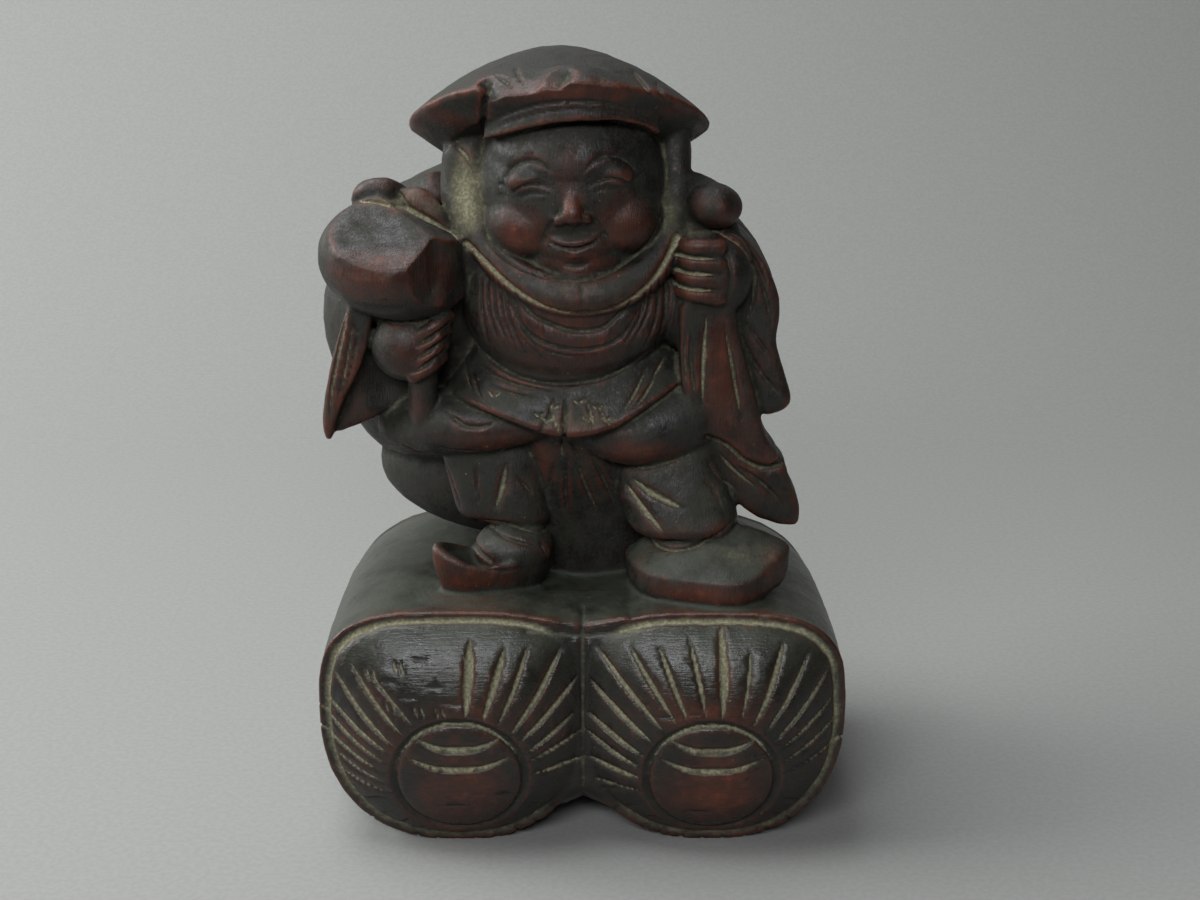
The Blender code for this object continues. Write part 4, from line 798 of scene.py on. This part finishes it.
def carve_legs(c):
    """Leaf-shaped gouges on the shins, folds in the hanging cloth, and the boots' seams."""
    for points, width, dust in (([(-28, 74), (-26, 68.5), (-24.6, 64)], 1.2, 0.4),
                                ([(-15.2, 75), (-16.2, 69.5), (-17.8, 65)], 1.7, 0.9),
                                ([(-13.5, 72), (-11.4, 69.6), (-10, 67.6)], 1.0, 0.2),
                                ([(9.6, 72.4), (14.5, 69.8), (20.4, 67)], 2.1, 0.9),
                                ([(8.2, 71.2), (12.2, 66.8), (16.6, 61.8)], 1.7, 0.9),
                                ([(1.6, 76), (4, 71), (6.4, 64)], 1.3, 0.5),
                                ([(-1.4, 75.5), (0.6, 69), (3, 62)], 1.2, 0.7),
                                ([(-3.4, 76), (-3.6, 68), (-3, 60)], 1.2, 0.3),
                                ([(-5.6, 75), (-6.6, 71), (-6.8, 67)], 1.0, 0.3),
                                ([(4.4, 76.6), (6.4, 73)], 1.1, 0.5),
                                ([(-4.6, 81), (-4.2, 78), (-4.4, 75.6)], 0.9, 0.6),
                                ([(-2.6, 80), (-1.6, 77.4), (-0.4, 74.6)], 0.9, 0.4),
                                ([(-21.5, 74.6), (-21.3, 70), (-20.8, 66)], 0.7, 0.2),
                                ([(24, 73), (26.5, 69.4), (28, 66)], 0.9, 0.3)):
        c.gouge(points, width, 0.8, dust=dust)
    c.gouges((
        ([(-27, 86.2), (-23, 83.8), (-19, 83.8), (-16.6, 85)], 1.3, 0.6, 0.5),
        ([(-36.5, 78), (-33, 76.2), (-29, 76.4)], 1.2, 0.7, 0.3),
        ([(-30, 78.7), (-24, 78), (-18.5, 77.6), (-14.5, 77.7), (-10.5, 78.8), (-8.5, 80)], 1.3, 0.8, 0.1),
        ([(1.5, 76.7), (4.5, 75.3), (7.5, 74.3), (13, 75), (19, 76.7), (23, 78.3)], 1.3, 0.8, 0.15),
        ([(-24, 57.8), (-21, 59.6), (-18.4, 60.8), (-16, 62)], 1.1, 0.7, 0.7),
        ([(-18.4, 60.8), (-14, 59.6), (-10.4, 58.4), (-8, 56)], 1.0, 0.6, 0.4),
        ([(-8.8, 59), (-7.4, 56.4), (-7.2, 54)], 1.2, 0.6, 0.7),
        ([(-27, 59.4), (-23.4, 58), (-19.6, 55.8), (-15.8, 54.2), (-11.6, 54.2)], 1.5, 1.0, 0.3),
        ([(11, 59.2), (15.5, 58.7), (21.5, 59.6), (26, 61.4), (30.5, 64.4)], 1.3, 0.8, 0.5),
        ([(-26, 62.2), (-16.5, 62.2), (-7.5, 59.7)], 1.2, 0.7, 0.4),
    ))


def carve_arms(c):
    """The sleeves' long folds, the cuff, the fingers of both hands, and the edge of the mallet."""
    for points, width, dust in (([(-45.8, 107), (-47.8, 98), (-49.6, 90), (-50.6, 83)], 1.0, 1.0),
                                ([(-44.8, 104), (-46.4, 95.5), (-48.4, 87.5)], 0.8, 0.8),
                                ([(-43.6, 103.4), (-45.2, 96), (-47.4, 89)], 0.6, 0.5),
                                ([(24.2, 106.6), (23.7, 98.5), (23.5, 87)], 1.3, 1.0),
                                ([(27.4, 104.5), (28.8, 98), (30.2, 90.5), (31.6, 83)], 1.3, 0.8),
                                ([(30.6, 102), (33.2, 96), (36.8, 90.4), (39.8, 87.8)], 1.2, 0.4),
                                ([(32.2, 103), (35.4, 98), (38.6, 94.6)], 0.9, 0.3),
                                ([(21.2, 104), (21.2, 96), (22.4, 88)], 1.0, 0.5),
                                ([(19.9, 104), (19.8, 97), (20.4, 90)], 0.9, 0.6),
                                ([(26.2, 78), (30, 73.4), (36, 68)], 1.3, 0.7),
                                ([(30, 74.6), (36, 70), (41, 64.6)], 1.2, 0.4),
                                ([(24.4, 76.4), (27, 72.6), (31, 68.4)], 1.0, 0.6)):
        c.gouge(points, width, 0.8, dust=dust)
    c.gouge([(24.4, 81), (28.5, 78.6), (32.5, 75), (36.6, 73.4), (42, 74.4)],
            1.5, 0.9, taper="none", dust=0.6)
    c.gouges((
        ([(20, 121.4), (26, 121.4), (31, 118.6), (33.6, 113), (33.4, 107), (31.8, 101)], 1.4, 0.8, 0.7),
        ([(33.6, 114.4), (36.2, 107), (37.4, 100.5)], 1.1, 0.6, 0.5),
        ([(31, 119.8), (34.6, 114.6), (36.6, 109)], 0.9, 0.5, 0.3),
    ))
    for i in range(3):
        z = 117.7 - 3.1 * i
        c.gouge([(18, z), (22, z - 0.1), (26.2, z - 0.4)], 1.1, 0.9, taper="end", dust=0.9)
        c.gouge([(-32.6 - 0.5 * i, 99.6 - 2.7 * i), (-29 - 0.5 * i, 102 - 2.7 * i),
                 (-25.6 - 0.5 * i, 104.2 - 2.7 * i)],
                1.1, 0.9, taper="start", dust=0.3)
    c.gouges((
        ([(27.4, 119), (28.6, 114), (27.8, 108.4)], 1.3, 0.5, 0.2),
        ([(-45, 126.6), (-41, 127.2), (-35.5, 126.2), (-29.5, 123.8), (-24.6, 120.8), (-22, 118.6)],
         1.3, 1.0, 1.0),
        ([(-36.6, 129.4), (-34.8, 127.4), (-33.4, 126.2)], 1.1, 0.7, 0.6),
        ([(-42, 105.6), (-37, 104.2), (-31, 104.6)], 1.2, 0.7, 0.4),
    ))


def carve_mallet(c):
    """Broad shallow strokes over the mallet, which leave its flats wavy at their borders."""
    for points in ([(-46, 121.5), (-41, 119.3), (-36, 119.6), (-31, 118.2)],
                   [(-47, 117.6), (-41, 116), (-35, 116.6)], [(-44, 124), (-39, 122.4), (-34, 122.6)],
                   [(-49, 113.6), (-42, 112), (-35, 112.6)], [(-46, 109.6), (-40, 108.2), (-33, 108.6)],
                   [(-28.6, 122), (-28.2, 117), (-28.6, 111)], [(-25.8, 120), (-25.2, 115), (-25.8, 110)]):
        c.gouge(points, 4.4, 0.32, form="round", dust=0)
    for points in ([(-46, 116.8), (-38, 116)], [(-43, 113), (-36, 113.4)], [(-40, 110.6), (-34, 110.8)],
                   [(-47.4, 114.4), (-45, 114.2)], [(-44, 118.6), (-42, 118.4)]):
        c.gouge(points, 0.5, 0.25, dust=0.1)


def plane_flats(c):
    """The planed facets of the mallet and the cap's front, and some soft hollows."""
    c.press((-37, -10, 90), (9, 9, 12), 3.2)
    c.press((3, -6, 66), (8, 10, 14), 1.5)
    c.press((-7, -26, 50), (7, 7, 4), 0.8, (0, 0, -1))
    c.press((9, -26, 50), (5, 6, 4), 0.6, (0, 0, -1))
    c.press((-33, -24, 50), (6, 7, 4), 0.5, (0, 0, -1))
    c.plane((-31, -23.4, 116.4), (0.8, -0.6, 0), 9)
    c.plane((-38.1, -21, 122.1), (-0.06, -0.6, 0.8), 11)
    c.plane((-12, -17.5, 151), (-0.25, -0.62, 0.74), 6.5)
    c.plane((-6, -19, 151.8), (0.06, -0.6, 0.8), 5)
    c.plane((8, -18, 151.6), (0.2, -0.55, 0.8), 7)
    c.plane((-16, -17, 149.6), (-0.5, -0.7, 0.5), 3.5)


# Where hands and cloths have rubbed the stain back to red-brown: a middle, three radii and how much.
RUBBED = (
    (in_face(0, -22, -2.4), (3.2, 4, 4.6), 0.95), (in_face(-9.6, -18, -6.4), (6.4, 6, 5.8), 0.9),
    (in_face(9.6, -18, -6.2), (6.4, 6, 5.8), 0.9), (in_face(0, -18, -14.2), (9, 6, 4.6), 0.85),
    (in_face(0, -21, -9.6), (5.4, 3, 2.2), 0.6), (in_face(0, -20, 4.6), (3.4, 4, 5), 0.45),
    ((-2, -22, 149.2), (19, 6, 2.6), 0.95), ((-27, -8, 143.2), (8, 10, 2.4), 0.8),
    ((19, -8, 144.6), (8, 10, 2.4), 0.7), ((-33.4, -2, 140), (3, 5, 3), 0.8),
    ((24, -2, 140.6), (3, 5, 2.6), 0.6), ((-2, -21, 145), (17, 5, 3.4), 0.35),
    ((-40, -23, 115), (12, 6, 5.4), 0.85), ((-29, -18, 115), (4.6, 7, 6), 0.75),
    ((-40, -18, 108), (9, 6, 4), 0.35), ((-2.5, -20, 107), (10, 5, 5.4), 0.85),
    ((-3, -20, 97.4), (13, 6, 4.6), 0.6), ((-16, -17, 106), (5, 6, 9), 0.6),
    ((14.4, -16, 107), (4.4, 6, 9), 0.55), ((27, -15, 94), (3.8, 6, 15), 0.9),
    ((38, -14, 77), (7, 5, 4), 0.55), ((33, -13, 82), (5, 5, 8), 0.6), ((34.4, -10, 66), (8, 6, 4), 0.35),
    ((-46.4, -12, 92), (4.6, 5, 12), 0.75), ((-51, -10, 80.4), (3.4, 6, 4), 0.95),
    ((-17, -18, 80.2), (13, 7, 3.6), 0.7), ((-8, -12, 75.4), (3, 6, 6), 0.85),
    ((11, -21, 77.8), (10, 6, 4), 0.85), ((1.6, -12, 76), (3, 6, 4), 0.5), ((20, -21, 62), (11, 6, 3), 0.4),
    ((-21, -22, 52.6), (11, 7, 4), 0.85), ((-28.6, -21, 57), (3.4, 5, 3.6), 0.8),
    ((22, -28, 51.6), (16, 6, 3), 0.9), ((38, -22, 56), (4.6, 6, 5), 0.75),
    ((-24, -39, 13.6), (10, 7, 9), 0.85), ((26, -39, 13), (11, 7, 10), 0.95),
    ((25, -38, 31.4), (13, 6, 4.4), 0.75), ((-24, -38, 31), (12, 6, 4), 0.55),
    ((-36, -37, 24), (5, 7, 10), 0.4), ((-24, -34, 3), (20, 9, 5), 0.45), ((25, -34, 3), (20, 9, 5), 0.45),
    ((-25, -30, 49), (24, 3.4, 3), 0.7), ((26, -30, 49), (24, 3.4, 3), 0.75),
    ((24, -17, 112), (5, 5, 6), 0.55), ((-34, -17, 97), (6, 6, 7), 0.5), ((0, -22, 83.6), (11, 6, 2.4), 0.7),
    ((28, -13, 124), (5, 6, 2.6), 0.75), ((-31, -9, 126.6), (4, 6, 4.4), 0.85),
    ((-33, -14, 87), (3, 5, 4), 0.55), ((11, -20, 55), (3, 6, 4), 0.5), ((-16, -26, 49.4), (16, 6, 3), 0.35),
    ((30, -22, 84), (4, 6, 4), 0.4), ((-10, 36, 98), (22, 9, 18), 0.5), ((0, 40, 30), (40, 9, 16), 0.4),
)

# Where dust has settled thickly besides the cuts.
DUSTY = (
    ((-22, -9, 126), (4.6, 8, 12), 0.95), ((-18, -13, 117), (5, 6, 5), 0.55),
    ((-33, -9, 126), (13, 7, 3.4), 0.6), ((16.4, -10, 123), (4, 7, 8), 0.65),
    ((20.4, -11, 121), (6, 6, 3.4), 0.55), ((0, -20, 110.6), (17, 7, 4.4), 0.4),
    ((30, -20, 58.4), (11, 9, 2.6), 0.5), ((27, -18, 69), (7, 6, 5), 0.35),
    ((-3, -22, 86.4), (11, 5, 2.8), 0.4), ((22, -8, 117), (5, 7, 3.6), 0.5),
    ((20, -14, 84), (3.6, 6, 14), 0.4), ((-24, -12, 60.4), (6, 7, 3), 0.4),
    ((-14, -14, 90.6), (9, 6, 3), 0.35), ((-22, 6, 133), (14, 10, 5), 0.5), ((0, 26, 50), (30, 14, 5), 0.6),
)


def weather(c):
    """Where the surface is rubbed or dusty, from how it bulges and where hands and dust reach, and how hollow
    it is, for the painted shade in its hollows.
    """
    fine, broad = [((c.points - c.averaged(c.points, rounds)) * c.normals).sum(axis=1) for rounds in (3, 14)]
    rubbed = np.clip(fine / 0.09 - 0.35, 0, 1) * np.interp(c.points[:, 2], (40, 50), (0.3, 0.55))
    rubbed += np.clip(broad / 0.2 - 0.4, 0, 1) * 0.35
    for middle, radii, much in RUBBED:
        rubbed = np.maximum(rubbed, np.sqrt(c.near(middle, [r * 1.3 for r in radii])) * much)
    hollow = np.clip(-broad / 0.2 - 0.3, 0, 1)
    rubbed *= 1 - 0.8 * hollow
    dusty = np.maximum(c.dust, hollow * np.interp(c.points[:, 2], (56, 64), (0, 0.4)))
    for middle, radii, much in DUSTY:
        dusty = np.maximum(dusty, np.sqrt(c.near(middle, [r * 1.2 for r in radii])) * much * 0.8)
    dusty *= np.clip(0.75 + 0.6 * c.normals[:, 2], 0.35, 1)
    return {"rubbed": np.clip(rubbed, 0, 1), "dusty": np.clip(dusty, 0, 1), "hollow": hollow}


def ripple(c):
    """What the knife leaves everywhere: shallow scallops with soft ridges between, faintly uneven."""
    depth = []
    for x, y, z in c.points.tolist():
        near = noise.voronoi((x / SCALLOP_WIDTH, y / SCALLOP_WIDTH, z / SCALLOP_LENGTH))[0]
        depth.append(-SCALLOP_DEPTH * (min(near[1] - near[0], 0.5) - 0.3)
                     + 0.07 * noise.noise((x * 0.5, y * 0.5, z * 0.3)))
    c.points += c.normals * np.array(depth)[:, None]
    c.look()


def carve(piece):
    """All the tool work on the fused skin. The underside is planed level and the weathering noted."""
    c = Carver(piece)
    plane_flats(c)
    c.look()
    ripple(c)
    for work in (carve_mallet, carve_cap, carve_bales, carve_bale_wear, carve_back,
                 carve_face, carve_body, carve_legs, carve_arms):
        work(c)
    c.apply()
    c.points[:, 2] = np.maximum(c.points[:, 2], 0)
    c.look()
    for name, values in weather(c).items():
        stored = piece.data.attributes.new(name, "FLOAT", "POINT")
        stored.data.foreach_set("value", values.astype(np.float32))


def make_statue():
    """The whole work as one piece, its middle where the solid's is. Returns it and how far it was moved."""
    block = Block()
    for add in (add_bales, add_sack, add_head, add_hood, add_body,
                add_legs, add_feet, add_mallet_arm, add_sack_arm, add_cap):
        add(block)
    piece = block.fused("carved_statue")
    carve(piece)
    thin = piece.modifiers.new("Planed", "DECIMATE")
    thin.ratio = min(1.0, TRIANGLES / sum(len(p.vertices) - 2 for p in piece.data.polygons))
    bpy.ops.object.select_all(action="DESELECT")
    piece.select_set(True)
    bpy.context.view_layer.objects.active = piece
    bpy.ops.object.modifier_apply(modifier=thin.name)
    bpy.ops.object.shade_smooth()
    corners = np.array([v.co for v in piece.data.vertices])
    middle = (corners.min(axis=0) + corners.max(axis=0)) / 2
    shift = Vector(((LOW[0] + HIGH[0]) / 2 - middle[0], (LOW[1] + HIGH[1]) / 2 - middle[1], LOW[2]))
    piece.data.transform(Matrix.Translation(shift))
    piece.data.update()
    return piece, shift


def colour(code):
    """An sRGB hex colour, turned to linear light."""
    found = []
    for i in (1, 3, 5):
        v = int(code[i:i + 2], 16) / 255
        found.append(v / 12.92 if v <= 0.04045 else ((v + 0.055) / 1.055) ** 2.4)
    return (*found, 1)


def node(tree, kind, settings=None, **links):
    """Adds a node with its settings, and links or sets its inputs by their names, with _ for a space."""
    made = tree.nodes.new("ShaderNode" + kind)
    for name, value in (settings or {}).items():
        setattr(made, name, value)
    for name, value in links.items():
        numbered = name[0] == "i" and name[1:].isdigit()
        socket = made.inputs[int(name[1:]) if numbered else name.replace("_", " ")]
        if isinstance(value, bpy.types.NodeSocket):
            tree.links.new(value, socket)
        else:
            socket.default_value = value
    return made


def ramp(tree, value, low, high):
    """Nought at low, one at high, smooth between and level beyond them. High may be the lesser number."""
    made = node(tree, "MapRange", {"interpolation_type": "SMOOTHSTEP"},
                Value=value, From_Min=low, From_Max=high)
    return made.outputs["Result"]


def mixed(tree, share, first, second):
    """One colour over another by a share."""
    made = node(tree, "Mix", {"data_type": "RGBA"}, i0=share, i6=first, i7=second)
    return made.outputs[2]


def stained_wood():
    """Close-grained hardwood under an old lacquer-like stain: nearly black and half glossy, rubbed through to
    red-brown where it is handled, with pale dust in the cuts, painted shade in the hollows, and a thin dull
    film on what faces up that is partly dust and partly painted sheen."""
    wood = bpy.data.materials.new("dark_stained_carved_wood")
    wood.use_nodes = True
    tree = wood.node_tree
    surface = tree.nodes["Principled BSDF"]
    place = node(tree, "TexCoord").outputs["Object"]
    per_mm = 1 / MM

    def pattern(stretch, size_mm, detail=2.0, rough=0.5, shift=0.0):
        """Noise whose features are this many millimetres across, stretched along x, y and z."""
        spread = node(tree, "Mapping", Vector=place, Scale=[per_mm / (size_mm * s) for s in stretch],
                      Location=(shift, shift, shift)).outputs[0]
        return node(tree, "TexNoise", Vector=spread, Scale=1.0, Detail=detail, Roughness=rough).outputs["Fac"]

    def plus(first, second):
        return node(tree, "Math", {"operation": "ADD"}, i0=first, i1=second).outputs[0]

    def times(first, second):
        return node(tree, "Math", {"operation": "MULTIPLY"}, i0=first, i1=second).outputs[0]

    rubbed = node(tree, "Attribute", {"attribute_name": "rubbed"}).outputs["Fac"]
    dusty = node(tree, "Attribute", {"attribute_name": "dusty"}).outputs["Fac"]
    hollow = node(tree, "Attribute", {"attribute_name": "hollow"}).outputs["Fac"]
    height = node(tree, "SeparateXYZ", Vector=place).outputs["Z"]
    upward = node(tree, "SeparateXYZ", Vector=node(tree, "NewGeometry").outputs["Normal"]).outputs["Z"]

    mottle = pattern((1, 1, 1), 9, 4, 0.6)
    patches = pattern((1, 1, 1), 2.4, 4, 0.65, 7)
    upright_grain = pattern((1, 1, 16), 0.34, 3, 0.6, 3)
    level_grain = pattern((14, 1, 1), 0.42, 3, 0.6, 5)
    grime = pattern((1, 1, 1), 5, 5, 0.65, 13)
    above = ramp(tree, height, 46 * MM, 52 * MM)
    grain = node(tree, "Mix", {"data_type": "FLOAT"}, i0=above, i2=level_grain, i3=upright_grain).outputs[0]
    specks = pattern((1, 1, 1), 0.6, 2, 0.5, 11)

    stain = mixed(tree, ramp(tree, mottle, 0.3, 0.7), colour("#151310"), colour("#201b16"))
    stain = mixed(tree, times(ramp(tree, grain, 0.5, 0.75), 0.5), stain, colour("#0f0b0a"))
    red = mixed(tree, ramp(tree, mottle, 0.3, 0.7), colour("#421f15"), colour("#562818"))
    red = mixed(tree, times(ramp(tree, grain, 0.45, 0.7), 0.7), red, colour("#2b1510"))
    red = mixed(tree, times(ramp(tree, patches, 0.5, 0.75), 0.5), red, colour("#6d341f"))
    worn = plus(times(rubbed, 0.95), plus(times(plus(patches, -0.5), 0.45), times(plus(grain, -0.5), 0.35)))
    worn = plus(worn, times(plus(mottle, -0.5), 0.4))
    tone = mixed(tree, ramp(tree, worn, 0.05, 1.0), stain, red)
    tone = mixed(tree, times(ramp(tree, worn, 0.75, 1.3), 0.6), tone, colour("#8c4a2a"))
    worn = ramp(tree, worn, 0.05, 1.05)

    # Painted shade: the hollows are darkened towards near black, as if shade lay in them.
    tone = mixed(tree, times(hollow, 0.5), tone, colour("#12120d"))
    matt = times(plus(1.0, times(worn, -0.75)),
                 ramp(tree, plus(grime, times(plus(specks, -0.5), 0.5)), 0.3, 0.7))
    tone = mixed(tree, times(matt, plus(0.14, times(above, 0.14))), tone, colour("#3a3d31"))
    # Partly dust and partly painted sheen: what faces up, most on the bales and low on the figure, is made
    # paler grey-green, as light from above glancing off it would.
    top_dust_and_sheen = times(ramp(tree, upward, 0.0, 0.9), ramp(tree, mottle, 0.2, 0.6))
    top_dust_and_sheen = times(times(top_dust_and_sheen, plus(1.0, times(worn, -0.6))), ramp(tree, height, 120 * MM, 55 * MM))
    tone = mixed(tree, times(top_dust_and_sheen, 0.42), tone, colour("#50574a"))
    settled = ramp(tree, plus(dusty, times(plus(patches, -0.5), 0.5)), 0.15, 0.95)
    dust = mixed(tree, ramp(tree, specks, 0.35, 0.7), colour("#837f67"), colour("#aaa587"))
    tone = mixed(tree, times(settled, 0.8), tone, dust)
    flecks = times(ramp(tree, specks, 0.72, 0.75), ramp(tree, patches, 0.5, 0.62))
    tone = mixed(tree, times(flecks, 0.7), tone, colour("#94794c"))
    tree.links.new(tone, surface.inputs["Base Color"])

    dull = plus(plus(0.1, times(mottle, 0.28)), plus(times(grain, 0.16), times(settled, 0.5)))
    dull = plus(plus(dull, times(dusty, 0.3)), times(matt, plus(0.06, times(above, 0.3))))
    dull = plus(dull, times(above, 0.1))
    dull = plus(dull, times(hollow, 0.35))
    tree.links.new(dull, surface.inputs["Roughness"])
    surface.inputs["IOR"].default_value = 1.5

    relief = plus(plus(times(grain, 1.0), times(specks, 0.4)), times(patches, 1.0))
    bump = node(tree, "Bump", Strength=0.7, Distance=0.14 * MM, Height=relief)
    tree.links.new(bump.outputs["Normal"], surface.inputs["Normal"])
    return wood


def backdrop_paper():
    """Matt grey paper with a fine tooth, painted dark towards the camera as painted shade for the dim room in
    front.
    """
    paper = bpy.data.materials.new("matt_backdrop_paper")
    paper.use_nodes = True
    tree = paper.node_tree
    surface = tree.nodes["Principled BSDF"]
    place = node(tree, "TexCoord").outputs["Object"]
    tooth = node(tree, "TexNoise", Vector=place, Scale=1 / (1.2 * MM), Detail=3.0).outputs["Fac"]
    tone = mixed(tree, ramp(tree, tooth, 0.35, 0.65), colour("#8d8e8b"), colour("#929390"))
    # Painted shade: the paper in front of the statue is darkened, so that little light comes off it onto the
    # wood or shows in its gloss.
    forward = node(tree, "SeparateXYZ", Vector=place).outputs["Y"]
    tone = mixed(tree, ramp(tree, forward, -0.32, -0.07), colour("#2c2b29"), tone)
    tree.links.new(tone, surface.inputs["Base Color"])
    surface.inputs["Roughness"].default_value = 0.75
    bump = node(tree, "Bump", Strength=0.25, Distance=0.2 * MM, Height=tooth)
    tree.links.new(bump.outputs["Normal"], surface.inputs["Normal"])
    return paper


def make_backdrop():
    """A sheet of paper that lies under the statue and sweeps up behind it."""
    floor_back, top, bend, half = 0.22, 1.2, 0.35, 1.6
    profile = [(-1.4, 0.0), (floor_back, 0.0)]
    profile += [(floor_back + bend * math.sin(a), bend * (1 - math.cos(a)))
                for a in np.linspace(0.1, math.pi / 2, 16)]
    profile += [(floor_back + bend, top)]
    mesh = bpy.data.meshes.new("backdrop")
    corners = [(x, y, z) for y, z in profile for x in (-half, half)]
    faces = [(2 * i, 2 * i + 1, 2 * i + 3, 2 * i + 2) for i in range(len(profile) - 1)]
    mesh.from_pydata(corners, [], faces)
    mesh.shade_smooth()
    sheet = bpy.data.objects.new("backdrop", mesh)
    bpy.context.scene.collection.objects.link(sheet)
    mesh.materials.append(backdrop_paper())


def soft_light(name, place, towards, size, power, tint):
    """A flat soft light as wide and tall as its size says, at a place and turned towards a point."""
    lamp = bpy.data.lights.new(name, "AREA")
    lamp.shape = "RECTANGLE"
    lamp.size, lamp.size_y = size
    lamp.energy = power
    lamp.color = colour(tint)[:3]
    stand = bpy.data.objects.new(name, lamp)
    bpy.context.scene.collection.objects.link(stand)
    stand.location = place
    stand.rotation_euler = (Vector(towards) - Vector(place)).to_track_quat("-Z", "Y").to_euler()


def light_and_camera(shift):
    """Windows on the left and a smaller one in front, a soft ceiling light, and the photograph's view."""
    soft_light("left_window", (-0.8, 0.0, 0.5), (0, 0, 0.05), (0.5, 0.5), 5.8, "#fbfcfa")
    soft_light("front_window", (-0.13, -0.67, 0.49), (0, 0, 0.04), (0.5, 0.15), 3.4, "#fafcff")
    soft_light("ceiling", (-0.25, 0.08, 0.85), (0, 0, 0.05), (0.5, 0.5), 5.6, "#fafcff")
    soft_light("side_window", (-0.9, 0.5, 0.5), (0.2, 0.6, 0.2), (0.6, 0.6), 4.5, "#fbfcfa")
    world = bpy.data.worlds.new("dim_room")
    bpy.context.scene.world = world
    world.use_nodes = True
    world.node_tree.nodes["Background"].inputs["Color"].default_value = colour("#d8dcd8")
    world.node_tree.nodes["Background"].inputs["Strength"].default_value = 0.05
    lens = bpy.data.cameras.new("camera")
    lens.lens = CAMERA_LENS
    lens.sensor_width = SENSOR
    lens.clip_start = 0.01
    camera = bpy.data.objects.new("camera", lens)
    bpy.context.scene.collection.objects.link(camera)
    camera.location = at(*CAMERA_AT) + shift
    camera.rotation_euler = (math.radians(90 - CAMERA_DOWN), 0, 0)
    bpy.context.scene.camera = camera
    bpy.context.scene.view_settings.view_transform = "Standard"


statue, moved = make_statue()
statue.data.materials.append(stained_wood())
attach(statue, "root")
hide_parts("daikoku_statue")
make_backdrop()
light_and_camera(moved)
